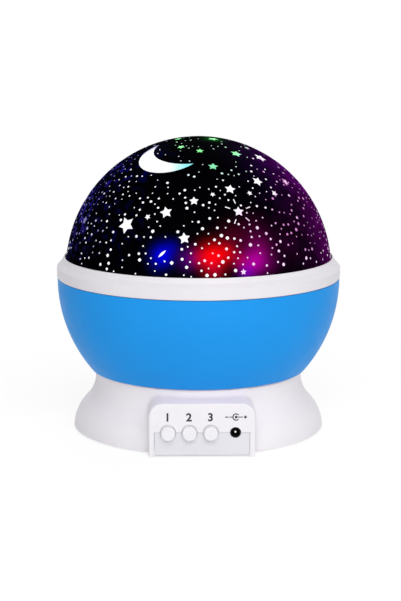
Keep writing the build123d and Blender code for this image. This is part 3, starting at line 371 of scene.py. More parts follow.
def metal(name, color, rough, brushed=(1, 1, 1)):
    material, tree, shader = newMaterial(name, Metallic=1.0)
    spot = place(tree)
    along = result(tree, "ShaderNodeMapping", {"Vector": spot, "Scale": brushed})
    streak = noise(tree, along, *metalGrain["streak"])
    stain = noise(tree, spot, *metalGrain["stain"])
    dull = scaled(tree, color, spanned(tree, stain, *metalGrain["shades"]))
    gloss = spanned(tree, streak, *rough)
    plugAll(tree, shader, {"Base Color": dull, "Roughness": gloss})
    addBump(tree, shader, streak, metalGrain["depth"])
    return material


def domePrint():
    material, tree, shader = newMaterial(
        "domePrint", **{"Emission Strength": 1.0, "Specular IOR Level": 0.0, "Coat Weight": 0.004}
    )
    color = (0.0003, 0.0003, 0.0007)
    skin = useSkin(tree, color, variation=0.5, grain=900.0, rough=(0.20, 0.27))
    scratch = useGroup(tree, hairLines, {"Scale": 45.0, "Amount": 0.12})["Mask"]
    gloss = calc(tree, "ADD", skin["Roughness"], scratch)
    # painted light: black print, with the lamps' glow and haze as emission set by position
    glow = useGroup(tree, lampGlow, {"Mottle": 1.0})
    light = vecCalc(tree, "ADD", glow["Color"], glow["Haze"])
    looks = {"Base Color": skin["Color"], "Roughness": gloss, "Emission Color": light}
    plugAll(tree, shader, looks)
    addBump(tree, shader, skin["Height"], depth=0.002 * mm)
    return material


# colours of the windows' painted light
tints = {
    "white": (0.97, 0.965, 1.0, 1),
    "blush": (0.93, 0.66, 0.95, 1),
    "pink": (0.60, 0.14, 0.52, 1),
    "plum": (0.16, 0.04, 0.19, 1),
    "cool": (0.038, 0.026, 0.27, 1),
    "rose": (1.0, 0.50, 0.66, 1),
}
tintEdges = {  # where a tint begins and is full, in metres or as a share of rim or glow
    "blushBelow": (0.104, 0.110),
    "blushFrom": (0.013, 0.018),
    "sidesAbove": (0.0830, 0.0890),
    "pinkFrom": (0.027, 0.038),
    "plumFrom": (0.044, 0.056),
    "plumRim": (0.90, 0.97),
    "coolFrom": (0.041, 0.053),
    "coolRim": (0.84, 0.93),
    "mintAbove": (0.1185, 0.1215),
    "mintFrom": (-0.016, -0.005),
    "mintTo": (0.0195, 0.0225),
    "cyanToMint": (0.0, 0.004),
    "greenAbove": (0.1275, 0.1290),
    "greenFrom": (-0.0140, -0.0115),
    "greenTo": (0.0185, 0.0205),
    "roseGlow": (0.10, 0.9),
}
shimmer = {
    "wobble": (330.0, 1.0, 0.5),
    "wobbleReach": 0.050,
    "glint": (900.0, 2.0),
    "glintRange": (0.25, 0.6, 0.86, 1.04),
    "gloss": (0.18, 0.3),
    "glowShare": 0.25,
}


def windowLight(name, green, mint, cyan):  # clear places, with their light from inside painted as emission: tints set by position follow the lamps, a noise varies their brightness
    material, tree, shader = newMaterial(
        name, **{"Emission Strength": 1.0, "Base Color": (0.04, 0.04, 0.045, 1)}
    )

    def past(value, edge):
        return between(tree, value, *tintEdges[edge])

    def before(value, edge):
        return between(tree, value, *tintEdges[edge], 1.0, 0.0)

    def stripe(tint):
        edge = times(tree, past(z, tint + "Above"), past(x, tint + "From"))
        return times(tree, edge, before(x, tint + "To"))

    spot = place(tree)
    x, y, z = axes(tree, spot)
    chance = calc(tree, "SUBTRACT", noise(tree, spot, *shimmer["wobble"]), 0.5)
    # x wobbles so that a tint's edge isn't a line
    wobble = calc(tree, "MULTIPLY_ADD", chance, shimmer["wobbleReach"], x)
    fromAxis = vecCalc(tree, "LENGTH", result(tree, "ShaderNodeCombineXYZ", {0: x, 1: y}))
    rim = calc(tree, "DIVIDE", x, calc(tree, "ADD", fromAxis, 0.1 * mm))  # never by zero
    sides = past(z, "sidesAbove")
    right = calc(tree, "MAXIMUM", past(wobble, "plumFrom"), past(rim, "plumRim"))
    leftward, leftRim = times(tree, wobble, -1.0), times(tree, rim, -1.0)
    left = calc(tree, "MAXIMUM", past(leftward, "coolFrom"), past(leftRim, "coolRim"))
    color = tints["white"]
    for mask, tint in (
        (times(tree, before(z, "blushBelow"), past(x, "blushFrom")), tints["blush"]),
        (times(tree, sides, past(wobble, "pinkFrom")), tints["pink"]),
        (times(tree, sides, right), tints["plum"]),
        (times(tree, sides, left), tints["cool"]),
        (stripe("mint"), blendColor(tree, past(x, "cyanToMint"), (*cyan, 1), (*mint, 1))),
        (stripe("green"), (*green, 1)),
    ):
        color = blendColor(tree, mask, color, tint)
    glow = useGroup(tree, lampGlow, {"Mottle": 0.0})["Color"]
    warm = result(tree, "ShaderNodeSeparateColor", {0: glow})
    color = blendColor(tree, past(warm, "roseGlow"), color, tints["rose"])
    glint = noise(tree, spot, *shimmer["glint"])
    color = scaled(tree, color, between(tree, glint, *shimmer["glintRange"]))
    light = vecCalc(tree, "ADD", color, scaled(tree, glow, shimmer["glowShare"]))
    gloss = spanned(tree, glint, *shimmer["gloss"])
    plugAll(tree, shader, {"Emission Color": light, "Roughness": gloss})
    return material


lens = {
    "coreEdge": (63.8 * mm, 71.5 * mm),
    "rise": 0.75,
    "least": 0.25,
    "swirl": (700.0, 2.0),
    "shades": (0.85, 1.1),
    "gloss": (0.08, 0.2),
}


def lampLens(name, color, light):  # brighter towards its tip
    material, tree, shader = newMaterial(
        name, **{"Emission Strength": 1.0, "Coat Weight": 0.5, "Coat Roughness": 0.05}
    )
    spot = place(tree)
    core = between(tree, axes(tree, spot)[2], *lens["coreEdge"])
    core = calc(tree, "MULTIPLY_ADD", core, lens["rise"], lens["least"])
    swirl = noise(tree, spot, *lens["swirl"])
    paint = scaled(tree, color, spanned(tree, swirl, *lens["shades"]))
    gloss = spanned(tree, swirl, *lens["gloss"])
    looks = {"Base Color": paint, "Roughness": gloss, "Emission Color": scaled(tree, light, core)}
    plugAll(tree, shader, looks)
    return material


boardTracks = {
    "Scale": 1.0,
    "Mortar Size": 0.13 * mm,
    "Mortar Smooth": 0.3,
    "Brick Width": 14.5 * mm,
    "Row Height": 0.85 * mm,
}
lacquer = {
    "otherBrick": 1.04,
    "brickShift": 0.37,
    "padCells": 330.0,
    "padEdge": (0.10, 0.13, 1.0, 0.0),
    "blur": 600.0,
    "gloss": (0.28, 0.42),
    "depth": -0.02 * mm,
}


def boardMask(name, color, track, pad):  # fine tracks and round pads under the lacquer
    material, tree, shader = newMaterial(name, **{"Coat Weight": 0.3, "Coat Roughness": 0.15})
    spot = place(tree)
    inputs = {
        "Vector": spot,
        "Color1": (*color, 1),
        "Color2": (*[c * lacquer["otherBrick"] for c in color], 1),
        "Mortar": (*track, 1),
        **boardTracks,
    }
    tracks = addNode(tree, "ShaderNodeTexBrick", inputs, offset=lacquer["brickShift"])
    inputs = {"Vector": spot, "Scale": lacquer["padCells"]}
    pads = between(tree, result(tree, "ShaderNodeTexVoronoi", inputs), *lacquer["padEdge"])
    paint = blendColor(tree, pads, tracks.outputs["Color"], (*pad, 1))
    gloss = spanned(tree, noise(tree, spot, lacquer["blur"]), *lacquer["gloss"])
    plugAll(tree, shader, {"Base Color": paint, "Roughness": gloss})
    addBump(tree, shader, tracks.outputs["Fac"], lacquer["depth"])
    return material


jacket = {  # colours, their edges along the cell from its middle, and wear
    "dark": (0.012, 0.016, 0.024, 1),
    "ring": (0.7, 0.7, 0.68, 1),
    "ringFrom": (10.0 * mm, 10.1 * mm),
    "ringTo": (10.8 * mm, 10.9 * mm),
    "copper": (0.50, 0.22, 0.075, 1),
    "copperFrom": (10.9 * mm, 11.0 * mm),
    "copperShine": 0.7,
    "bare": (0.62, 0.61, 0.58, 1),
    "bareFrom": (21.45 * mm, 21.55 * mm),
    "scuff": (240.0, 4.0, 0.7),
    "scuffRange": (0.3, 0.7, 0.9, 1.08),
    "blur": 500.0,
    "gloss": (0.24, 0.38),
}


def cellJacket(name, way):  # printed sleeve: dark body, copper band at the tip's end, bare ends
    material, tree, shader = newMaterial(name, **{"Coat Weight": 0.4, "Coat Roughness": 0.12})
    spot = place(tree)
    x = axes(tree, spot)[0]
    along = times(tree, x, float(way))
    band = between(tree, along, *jacket["copperFrom"])
    color = blendColor(tree, band, jacket["dark"], jacket["copper"])
    ringEnd = between(tree, along, *jacket["ringTo"], 1.0, 0.0)
    ring = times(tree, between(tree, along, *jacket["ringFrom"]), ringEnd)
    color = blendColor(tree, ring, color, jacket["ring"])
    bare = between(tree, calc(tree, "ABSOLUTE", x), *jacket["bareFrom"])
    color = blendColor(tree, bare, color, jacket["bare"])
    scuff = between(tree, noise(tree, spot, *jacket["scuff"]), *jacket["scuffRange"])
    bright = calc(tree, "MAXIMUM", bare, times(tree, band, jacket["copperShine"]))
    gloss = spanned(tree, noise(tree, spot, jacket["blur"]), *jacket["gloss"])
    looks = {"Base Color": scaled(tree, color, scuff), "Metallic": bright, "Roughness": gloss}
    plugAll(tree, shader, looks)
    return material


soft = {"Specular IOR Level": 0.12}
whiteShell = mouldedPlastic("whiteShell", (0.875, 0.85, 0.875), (0.40, 0.52), 0.03, 1300, **soft)
collarWhite = mouldedPlastic("collarWhite", (0.80, 0.775, 0.81), (0.36, 0.46), 0.04, 1300, **soft)
bowl = {"lines": 0.05, "bounce": (0.66, 0.64, 0.88), "Specular IOR Level": 0.08}
bowlBlue = mouldedPlastic("bowlBlue", (0.014, 0.31, 0.82), (0.40, 0.50), 0.07, 1100, 0.007, **bowl)
cap = {"skin": (0.86, 0.85, 0.865), "behind": (-60.5 * mm, -59.9 * mm), "paintedGlow": 0.19}
buttonWhite = mouldedPlastic("buttonWhite", cap["skin"], (0.34, 0.44), 0.02, 1600, 0.004, **soft)
# painted light: the caps' sides and flange, behind the panel's face, glow a little, as if the thin
# caps passed daylight on, so the gap round each cap is less dark
tree = buttonWhite.node_tree
depth = axes(tree, place(tree))[1]
paintedGlow = scaled(tree, cap["skin"], between(tree, depth, *cap["behind"]))
looks = {"Emission Color": paintedGlow, "Emission Strength": cap["paintedGlow"]}
plugAll(tree, tree.nodes["Principled BSDF"], looks)
coverWhite = mouldedPlastic("coverWhite", (0.76, 0.755, 0.79), (0.50, 0.62), 0.04, 2600, 0.020)
printDark = mouldedPlastic("printDark", (0.02, 0.02, 0.024), (0.45, 0.6), 0.4, 3000, 0.004)
blackNylon = mouldedPlastic(
    "blackNylon", (0.007, 0.007, 0.008), (0.42, 0.55), 0.3, 2400, 0.012, **soft
)
steel = metal("zincSteel", (0.58, 0.58, 0.60), (0.26, 0.42))
springSteel = metal("springSteel", (0.66, 0.64, 0.60), (0.22, 0.36), (1, 8, 1))
nickel = metal("contactNickel", (0.70, 0.68, 0.63), (0.2, 0.36), (1, 1, 9))
finishes = {
    "base_housing": whiteShell,
    "spindle": whiteShell,
    "collar_ring": collarWhite,
    "bowl": bowlBlue,
    "star_dome": domePrint(),
    "bottom_cover": coverWhite,
    "battery_door": coverWhite,
    "dc_jack": blackNylon,
    "jack_pin": nickel,
    "contact_plates": nickel,
    "contact_springs": springSteel,
    "retaining_ring": springSteel,
    "motor_can": steel,
    "motor_shaft": steel,
    "motor_pinion": blackNylon,
    "light_board": boardMask(
        "boardWhite", (0.72, 0.72, 0.70), (0.665, 0.665, 0.65), (0.55, 0.52, 0.45)
    ),
    "control_board": boardMask(
        "boardGreen", (0.006, 0.085, 0.028), (0.012, 0.16, 0.05), (0.6, 0.5, 0.3)
    ),
    "lamp_white": lampLens("lensWhite", (0.85, 0.85, 0.80), (0.95, 0.92, 0.80)),
    "lamp_red": lampLens("lensRed", (0.65, 0.02, 0.015), (0.95, 0.03, 0.02)),
    "lamp_green": lampLens("lensGreen", (0.02, 0.5, 0.06), (0.03, 0.85, 0.12)),
    "lamp_blue": lampLens("lensBlue", (0.02, 0.06, 0.65), (0.02, 0.08, 0.95)),
}
for name, finish, *look in (  # colour, roughness, variation, grain, its depth, scratches
    ("reflector", "reflectorWhite", (0.84,) * 3, (0.12, 0.2), 0.03, 900, 0.003),
    ("rubber_feet", "footRubber", (0.035, 0.035, 0.038), (0.70, 0.85), 0.25, 2200, 0.03, 0.05),
    ("drive_gear", "gearAcetal", (0.72, 0.69, 0.60), (0.34, 0.46), 0.06),
    ("gearbox_case", "gearboxGrey", (0.09, 0.095, 0.105), (0.45, 0.6), 0.15),
    ("thrust_washer", "washerWhite", (0.8, 0.8, 0.78), (0.4, 0.5), 0.03),
    ("controller_chip", "chipEpoxy", (0.014, 0.014, 0.015), (0.5, 0.65), 0.2, 4000, 0.01),
    ("capacitor", "capacitorSleeve", (0.008, 0.012, 0.06), (0.2, 0.3), 0.1),
    ("light_cable", "cableBlack", (0.02, 0.02, 0.02), (0.4, 0.5), 0.2),
    ("battery_leads", "leadRed", (0.42, 0.015, 0.015), (0.35, 0.45), 0.1),
    ("motor_leads", "leadBlue", (0.02, 0.04, 0.30), (0.35, 0.45), 0.1),
):
    finishes[name] = mouldedPlastic(finish, *look)
plungerWhite = mouldedPlastic("plungerWhite", (0.7, 0.7, 0.68), (0.35, 0.45), 0.05)
cellJackets = (cellJacket("cellJacketLeft", -1), cellJacket("cellJacketRight", 1))
for number in range(1, 4):
    finishes[f"button_{number}"] = buttonWhite
    finishes[f"switch_body_{number}"] = blackNylon
    finishes[f"switch_plunger_{number}"] = plungerWhite
for number in range(1, 5):
    finishes[f"battery_cell_{number}"] = cellJackets[number % 2]
for name, node in nodes.items():
    if name.endswith("_screws"):
        finishes[name] = steel
    node.data.materials.clear()
    node.data.materials.append(finishes[name])
print("finishes set on", len(finishes), "nodes")

# geometry node helpers


def newMesh(name, verts, faces, material=None):
    mesh = bpy.data.meshes.new(name)
    mesh.from_pydata([tuple(v) for v in verts], [], faces)
    mesh.update()
    if material:
        mesh.materials.append(material)
    return linked(name, mesh)


def newTree(name, inputs):
    shape = ("Geometry", "Geometry")
    return newGroup(name, [(*shape, None), *inputs], [shape], "Geometry")


def plainMesh(source):  # the evaluated shape as a mesh of its own; the source goes
    graph = bpy.context.evaluated_depsgraph_get()
    mesh = bpy.data.meshes.new_from_object(source.evaluated_get(graph), depsgraph=graph)
    bpy.data.objects.remove(source)
    return mesh


def growPiece(name, source, tree, values):  # run a tree on a source mesh, keep the plain result
    modifier = source.modifiers.new("grow", "NODES")
    modifier.node_group = tree
    for item in tree.interface.items_tree:
        if item.in_out == "INPUT" and item.name in values:
            modifier[item.identifier] = values[item.name]
    mesh = plainMesh(source)
    mesh.name = name
    return linked(name, mesh)


def named(tree, label):
    return result(tree, "GeometryNodeInputNamedAttribute", {"Name": label}, data_type="FLOAT")


def stored(tree, geometry, label, value, domain="POINT"):
    inputs = {"Geometry": geometry, "Name": label, "Value": value}
    kind = "GeometryNodeStoreNamedAttribute"
    return result(tree, kind, inputs, data_type="FLOAT", domain=domain)


def repeated(tree, points, instance, rotation):  # one at each point, sized by the attribute
    size = named(tree, "size")
    inputs = {"Points": points, "Instance": instance, "Rotation": rotation, "Scale": size}
    placed = result(tree, "GeometryNodeInstanceOnPoints", inputs)
    return result(tree, "GeometryNodeRealizeInstances", {"Geometry": placed})


def spunBy(tree, label):
    inputs = {"Axis": (0, 0, 1), "Angle": named(tree, label)}
    return result(tree, "FunctionNodeAxisAngleToRotation", inputs)


def together(tree, *parts):
    node = tree.nodes.new("GeometryNodeJoinGeometry")
    for part in parts:
        tree.links.new(part, node.inputs[0])
    return node.outputs[0]


def dressed(tree, geometry, material, where=True):
    inputs = {"Geometry": geometry, "Selection": where, "Material": material}
    return result(tree, "GeometryNodeSetMaterial", inputs)


# the windows are plugs that stand out of the wall a little on both sides
plugOuter = domeShape["radius"] + domeShape["lift"]
plugInner = domeShape["radius"] - domeShape["wall"] - domeShape["lift"]
plugThick, plugMerge = 0.02, 0.002  # as shares of its radius, before it goes through the wall

# closed star or round plug through the dome's wall, one at each point; both ends follow the sphere
windowTree, given, made = newTree(
    "windowTree",
    [
        ("Arms", "Int", 5),
        ("Inner Share", "Float", 0.5),
        ("Cuts", "Int", 2),
        ("Centre Height", "Float", domeShape["centre"]),
        ("Outer Radius", "Float", plugOuter),
        ("Inner Radius", "Float", plugInner),
        ("Finish", "Material", None),
    ],
)
t = windowTree
inputs = {"Points": given["Arms"], "Inner Radius": given["Inner Share"], "Outer Radius": 1.0}
star = result(t, "GeometryNodeCurveStar", inputs)
flat = result(t, "GeometryNodeFillCurve", {"Curve": star})
flat = result(t, "GeometryNodeSubdivideMesh", {"Mesh": flat, "Level": given["Cuts"]})
inputs = {"Mesh": flat, "Offset": (0, 0, plugThick), "Offset Scale": 1.0, "Individual": False}
thick = result(t, "GeometryNodeExtrudeMesh", inputs)
under = result(t, "GeometryNodeFlipFaces", {"Mesh": flat})
inputs = {"Geometry": together(t, under, thick), "Distance": plugMerge}
closed = result(t, "GeometryNodeMergeByDistance", inputs)
here = result(t, "GeometryNodeInputPosition")
upper = calc(t, "GREATER_THAN", axes(t, here)[2], plugThick / 2)
upper = stored(t, closed, "upper", upper)
points = result(t, "GeometryNodeMeshToPoints", {"Mesh": given["Geometry"]})
centre = result(t, "ShaderNodeCombineXYZ", {"Z": given["Centre Height"]})
outward = vecCalc(t, "NORMALIZE", vecCalc(t, "SUBTRACT", here, centre))
facing = result(t, "FunctionNodeAlignRotationToVector", {"Vector": outward}, axis="Z")
inputs = {"Rotation": facing, "Vector": (0, 0, 1)}
facing = result(t, "FunctionNodeAlignRotationToVector", inputs, axis="Y", pivot_axis="Z")
inputs = {"Rotation": facing, "Rotate By": spunBy(t, "spin")}
facing = result(t, "FunctionNodeRotateRotation", inputs, rotation_space="LOCAL")
real = repeated(t, points, upper, facing)
reach = calc(t, "SUBTRACT", given["Outer Radius"], given["Inner Radius"])
reach = calc(t, "MULTIPLY_ADD", named(t, "upper"), reach, given["Inner Radius"])
onSphere = vecCalc(t, "ADD", centre, scaled(t, outward, reach))
settled = result(t, "GeometryNodeSetPosition", {"Geometry": real, "Position": onSphere})
plug(t, made["Geometry"], dressed(t, settled, given["Finish"]))

# points spread over a patch of the dome, kept clear of the larger windows
scatterTree, given, made = newTree(
    "scatterTree",
    [
        ("Spacing", "Float", 2.4 * mm),
        ("Most per Area", "Float", 90000.0),
        ("Smallest", "Float", 0.26 * mm),
        ("Largest", "Float", 0.80 * mm),
        ("Fewness of Large", "Float", 2.2),
        ("Clear of", "Object", None),
        ("Room", "Float", 1.5 * mm),
        ("Seed", "Int", 4),
    ],
)
t = scatterTree
inputs = {
    "Mesh": given["Geometry"],
    "Distance Min": given["Spacing"],
    "Density Max": given["Most per Area"],
    "Density Factor": named(t, "crowd"),
    "Seed": given["Seed"],
}
spread = result(t, "GeometryNodeDistributePointsOnFaces", inputs, distribute_method="POISSON")
others = addNode(t, "GeometryNodeObjectInfo", {"Object": given["Clear of"]})
away = addNode(t, "GeometryNodeProximity", {"Geometry": others.outputs["Geometry"]})
tooNear = calc(t, "LESS_THAN", away.outputs["Distance"], given["Room"])
kept = result(t, "GeometryNodeDeleteGeometry", {"Geometry": spread, "Selection": tooNear})
draw = addNode(t, "FunctionNodeRandomValue", {"Seed": given["Seed"]}, data_type="FLOAT").outputs[1]
fewLarge = calc(t, "POWER", draw, given["Fewness of Large"])
room = calc(t, "SUBTRACT", given["Largest"], given["Smallest"])
sizes = calc(t, "MULTIPLY_ADD", fewLarge, room, given["Smallest"])
sized = stored(t, kept, "size", times(t, sizes, named(t, "bulk")))
plug(t, made["Geometry"], result(t, "GeometryNodePointsToVertices", {"Points": sized}))
print("geometry trees ready")

# the dome's printed sky
mainStars = [  # azimuth, elevation, radius in mm, spin in degrees
    (-36.4, 26.1, 4.25, -20),
    (-17.4, 32.7, 2.93, 35),
    (-26.2, 30.3, 1.42, -17),
    (-4, 38.2, 2.18, 21),
    (16.4, 43.7, 2.55, 2),
    (6, 41.3, 1.18, -23),
    (-7.8, 21.9, 2.72, 26),
    (18.1, 33, 2.5, 13),
    (36.5, 46.8, 2.7, -19),
    (27.3, 41.2, 1.28, 29),
    (43.9, 39.9, 1.78, -27),
    (60.7, 44.4, 2.3, 27),
    (62.5, 59.8, 3.2, 26),
    (38.4, 64.9, 2.68, -22),
    (9.2, 56.7, 2.33, 8),
    (-0.4, 68.5, 1.85, 15),
    (-26, 71.8, 1.85, 4),
    (-71.6, 80.6, 1.8, 0),
    (47.7, 82, 2.6, 20),
    (70.1, 67.9, 1.45, 7),
    (-68, 24.9, 2.1, 25),
    (17, 7.9, 1.35, 18),
    (100, 33, 3.3, 10),
    (118, 46, 2.3, -12),
    (127, 24, 2.6, 6),
    (141, 38, 1.6, 0),
    (155, 52, 2.7, -9),
    (163, 27, 3.5, 13),
    (178, 41, 2.1, 4),
    (-168, 21, 2.4, -7),
    (-158, 35, 1.5, 12),
    (-150, 57, 2.8, -15),
    (-137, 30, 2.9, 5),
    (-121, 44, 2.2, -4),
    (-112, 22, 3.1, 11),
    (-96, 52, 1.7, -11),
    (-88, 33, 2.3, 8),
    (168, 70, 2.2, 3),
    (-125, 66, 1.9, -8),
    (110, 64, 2.1, 12),
]
moon = {
    "azimuth": -38,
    "elevation": 60,
    "centre": (2.66, 6.73),
    "outer": 14.98,
    "inner": 16.78,
    "inset": (4.11, 9.32),
    "steps": 44,
    "rows": 6,
}
streaks = [  # azimuth, elevation, length, width, tilt in degrees
    (-17, 15.3, 4.3, 1.05, 45),
    (146, 18, 4, 1, -40),
]
sliver = {"rows": 12, "fullness": 0.8, "tip": 0.01}
rays = {
    "star": (18.1, 33.0),
    "turns": (100, 20, 155, 242, 312),
    "distance": 5.1,
    "length": 2.2,
    "width": 0.42,
    "rows": 4,
}


def onDome(azimuth, elevation, flatPoint, radius):  # a flat point in mm, rolled on to the dome
    out = direction(azimuth, elevation)
    right = Vector((math.cos(math.radians(azimuth)), math.sin(math.radians(azimuth)), 0))
    up = out.cross(right)
    offset = right * flatPoint[0] * mm + up * flatPoint[1] * mm
    angle = offset.length / domeShape["radius"]
    way = offset.normalized() if offset.length > 0 else right
    rolled = out * math.cos(angle) + way * math.sin(angle)
    return Vector((0, 0, domeShape["centre"])) + rolled * radius


def windowStrip(name, azimuth, elevation, rows):  # rows of points across a shape, as a closed plug
    count, wide = len(rows), len(rows[0])
    spots = [p for row in rows for p in row]
    verts = [onDome(azimuth, elevation, p, r) for r in (plugOuter, plugInner) for p in spots]
    half = count * wide
    faces = []
    for i in range(count - 1):
        for j in range(wide - 1):
            a, b = i * wide + j, i * wide + j + 1
            c, d = (i + 1) * wide + j + 1, (i + 1) * wide + j
            faces += [(a, b, c, d), (d + half, c + half, b + half, a + half)]
    rim = list(range(wide))
    rim += [i * wide + wide - 1 for i in range(1, count)]
    rim += [(count - 1) * wide + j for j in range(wide - 2, -1, -1)]
    rim += [i * wide for i in range(count - 2, 0, -1)]
    for a, b in zip(rim, rim[1:] + rim[:1]):
        faces.append((b, a, a + half, b + half))
    piece = newMesh(name, verts, faces, windows)
    cleanMesh(piece.data)
    return piece


def cleanMesh(mesh):  # doubles merged, slivers gone, normals outwards
    merge = 0.002 * mm
    work = bmesh.new()
    work.from_mesh(mesh)
    bmesh.ops.remove_doubles(work, verts=work.verts, dist=merge)
    bmesh.ops.dissolve_degenerate(work, edges=work.edges, dist=merge / 2)
    bmesh.ops.recalc_face_normals(work, faces=work.faces)
    work.to_mesh(mesh)
    work.free()


def pointMesh(name, places, faces=(), **attributes):  # each attribute has a value per point
    piece = newMesh(name, places, faces)
    for key, values in attributes.items():
        piece.data.attributes.new(key, "FLOAT", "POINT").data.foreach_set("value", values)
    return piece


def joinPieces(name, pieces):
    work = bmesh.new()
    for piece in pieces:
        work.from_mesh(piece.data)
    mesh = bpy.data.meshes.new(name)
    work.to_mesh(mesh)
    work.free()
    mesh.materials.append(pieces[0].data.materials[0])
    for piece in pieces:
        bpy.data.objects.remove(piece)
    return linked(name, mesh)


windows = windowLight("windowLight", (0.05, 0.86, 0.13), (0.16, 0.80, 0.38), (0.20, 0.85, 0.86))
dotLight = windowLight("dotLight", (0.30, 0.66, 0.38), (0.62, 0.86, 0.74), (0.70, 0.88, 0.95))
starPoints = pointMesh(
    "starPoints",
    [domePoint(a, e) for a, e, r, s in mainStars],
    size=[r * mm for a, e, r, s in mainStars],
    spin=[math.radians(s) for a, e, r, s in mainStars],
)
inputs = {"Arms": 5, "Inner Share": 0.52, "Cuts": 2, "Finish": windows}
starWindows = growPiece("starWindows", starPoints, windowTree, inputs)
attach(starWindows, "dome_unit")


def shares(count):  # 0 to 1 in equal steps
    return [i / count for i in range(count + 1)]


def cornerAngle(side, base, across):  # of a triangle, between side and base
    return math.acos((side**2 + base**2 - across**2) / (2 * side * base))


innerCentre = Vector(moon["inset"])
halfOuter = cornerAngle(moon["outer"], innerCentre.length, moon["inner"])
halfInner = cornerAngle(moon["inner"], innerCentre.length, moon["outer"])
lean = math.atan2(innerCentre.y, innerCentre.x)
moonRows = []
for share in shares(moon["steps"]):
    a = lean + halfOuter + share * 2 * (math.pi - halfOuter)
    b = lean + (math.pi - halfInner) + share * 2 * halfInner
    outerPoint = Vector((math.cos(a), math.sin(a))) * moon["outer"]
    innerPoint = innerCentre + Vector((math.cos(b), math.sin(b))) * moon["inner"]
    row = [outerPoint.lerp(innerPoint, part) for part in shares(moon["rows"])]
    moonRows.append([Vector(moon["centre"]) + flatPoint for flatPoint in row])
moonWindow = windowStrip("moonWindow", moon["azimuth"], moon["elevation"], moonRows)
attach(moonWindow, "dome_unit")

slivers = []
for azimuth, elevation, length, width, tilt in streaks:
    turn = Matrix.Rotation(math.radians(tilt), 2)
    rows = []
    for share in shares(sliver["rows"]):
        fat = width / 2 * math.sin(math.pi * share) ** sliver["fullness"] + sliver["tip"]
        rows.append([turn @ Vector(((share - 0.5) * length, side * fat)) for side in (-1, 0, 1)])
    slivers.append(windowStrip("streak", azimuth, elevation, rows))
for angle in rays["turns"]:
    turn = Matrix.Rotation(math.radians(angle), 2)
    rows = []
    for share in shares(rays["rows"]):
        along = rays["distance"] + (share - 0.5) * rays["length"]
        rows.append([turn @ Vector((along, side * rays["width"] / 2)) for side in (-1, 1)])
    slivers.append(windowStrip("ray", *rays["star"], rows))
rayWindows = joinPieces("rayWindows", slivers)
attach(rayWindows, "dome_unit")

# small dots: crowded patches at the sides, looser between them and at the top
crowds = [  # azimuth, elevation, reach in degrees, extra
    (-62, 40, 17, 0.5),
    (48, 26, 20, 0.26),
    (86, 22, 20, 0.1),
    (4, 13, 17, 0.51),
    (-10, 84, 24, -0.2),
    (140, 30, 18, 0.2),
    (-120, 32, 18, 0.26),
    (-165, 16, 14, 0.14),
]
dots = {
    "base": 0.49,
    "rings": 40,
    "spokes": 96,
    "lowest": 3.5,
    "highest": 88,
    "arms": 4,
    "inner": 0.93,
    "bulk": 1.06,
    "topLoss": 0.26,
    "topFrom": 22,
    "topOver": 30,
    "slim": (-60, 38, 24),
    "slimLoss": 0.22,
    "scatter": {
        "Spacing": 2.5 * mm,
        "Most per Area": 210000.0,
        "Smallest": 0.33 * mm,
        "Largest": 0.80 * mm,
        "Room": 1.3 * mm,
        "Seed": 7,
    },
}


def nearness(out, azimuth, elevation, reach):  # 1 at a direction, less round it
    angle = math.degrees(out.angle(direction(azimuth, elevation)))
    return math.exp(-((angle / reach) ** 2))


patchVerts, crowd, bulk = [], [], []
for i in range(dots["rings"] + 1):
    elevation = dots["lowest"] + (dots["highest"] - dots["lowest"]) * i / dots["rings"]
    for j in range(dots["spokes"]):
        azimuth = 360 * j / dots["spokes"] - 180
        patchVerts.append(domePoint(azimuth, elevation))
        out = direction(azimuth, elevation)
        level = dots["base"]
        for a, e, size, extra in crowds:
            level += extra * nearness(out, a, e, size)
        crowd.append(min(1.0, level))
        slim = nearness(out, *dots["slim"])
        rise = min(1.0, max(0.0, (elevation - dots["topFrom"]) / dots["topOver"]))
        bulk.append((dots["bulk"] - dots["topLoss"] * rise) * (1 - dots["slimLoss"] * slim))
wide = dots["spokes"]
patchFaces = [
    (i * wide + j, i * wide + (j + 1) % wide, (i + 1) * wide + (j + 1) % wide, (i + 1) * wide + j)
    for i in range(dots["rings"])
    for j in range(wide)
]
patch = pointMesh("patch", patchVerts, patchFaces, crowd=crowd, bulk=bulk)
blockers = joinPieces("blockers", [p.copy() for p in (starWindows, moonWindow, rayWindows)])
scatter = {"Clear of": blockers, **dots["scatter"]}
dotPoints = growPiece("dotPoints", patch, scatterTree, scatter)
bpy.data.objects.remove(blockers)
print("dots:", len(dotPoints.data.vertices))
inputs = {"Arms": dots["arms"], "Inner Share": dots["inner"], "Cuts": 0, "Finish": dotLight}
dotWindows = growPiece("dotWindows", dotPoints, windowTree, inputs)
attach(dotWindows, "dome_unit")
print("sky ready:", len(dotWindows.data.polygons), "dot faces")

# printed marks on the panel
panel = {"face": -60.2, "thick": 0.03}
numerals = {
    "places": (-15.0, -5.7, 3.6),
    "height": 18.1,
    "tall": 3.75,
    "bold": 0.032,
    "resolution": 12,  # at 6 the 3 gets a stray face in its notch
}
polarity = {
    "centre": (14.7, 18.1),
    "ring": 1.38,
    "opening": (40, 320),
    "arcSteps": 28,
    "stroke": 0.50,
    "thinner": 0.8,
    "dot": 0.60,
    "dotSides": 20,
    "sign": 1.35,
    "reach": 4.7,
    "gap": 0.45,
}


def panelMesh(name, outlines):  # flat outlines in mm on the panel's face, raised by the ink
    verts, faces = [], []
    for outline in outlines:
        start, n = len(verts), len(outline)
        for depth in (panel["face"] - panel["thick"], panel["face"] + panel["thick"]):
            verts += [(x * mm, depth * mm, z * mm) for x, z in outline]
        faces.append([start + i for i in range(n)])
        faces.append([start + n + i for i in reversed(range(n))])
        for i in range(n):
            j = (i + 1) % n
            faces.append([start + j, start + i, start + n + i, start + n + j])
    piece = newMesh(name, verts, faces, printDark)
    cleanMesh(piece.data)
    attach(piece, "base_unit")
    return piece


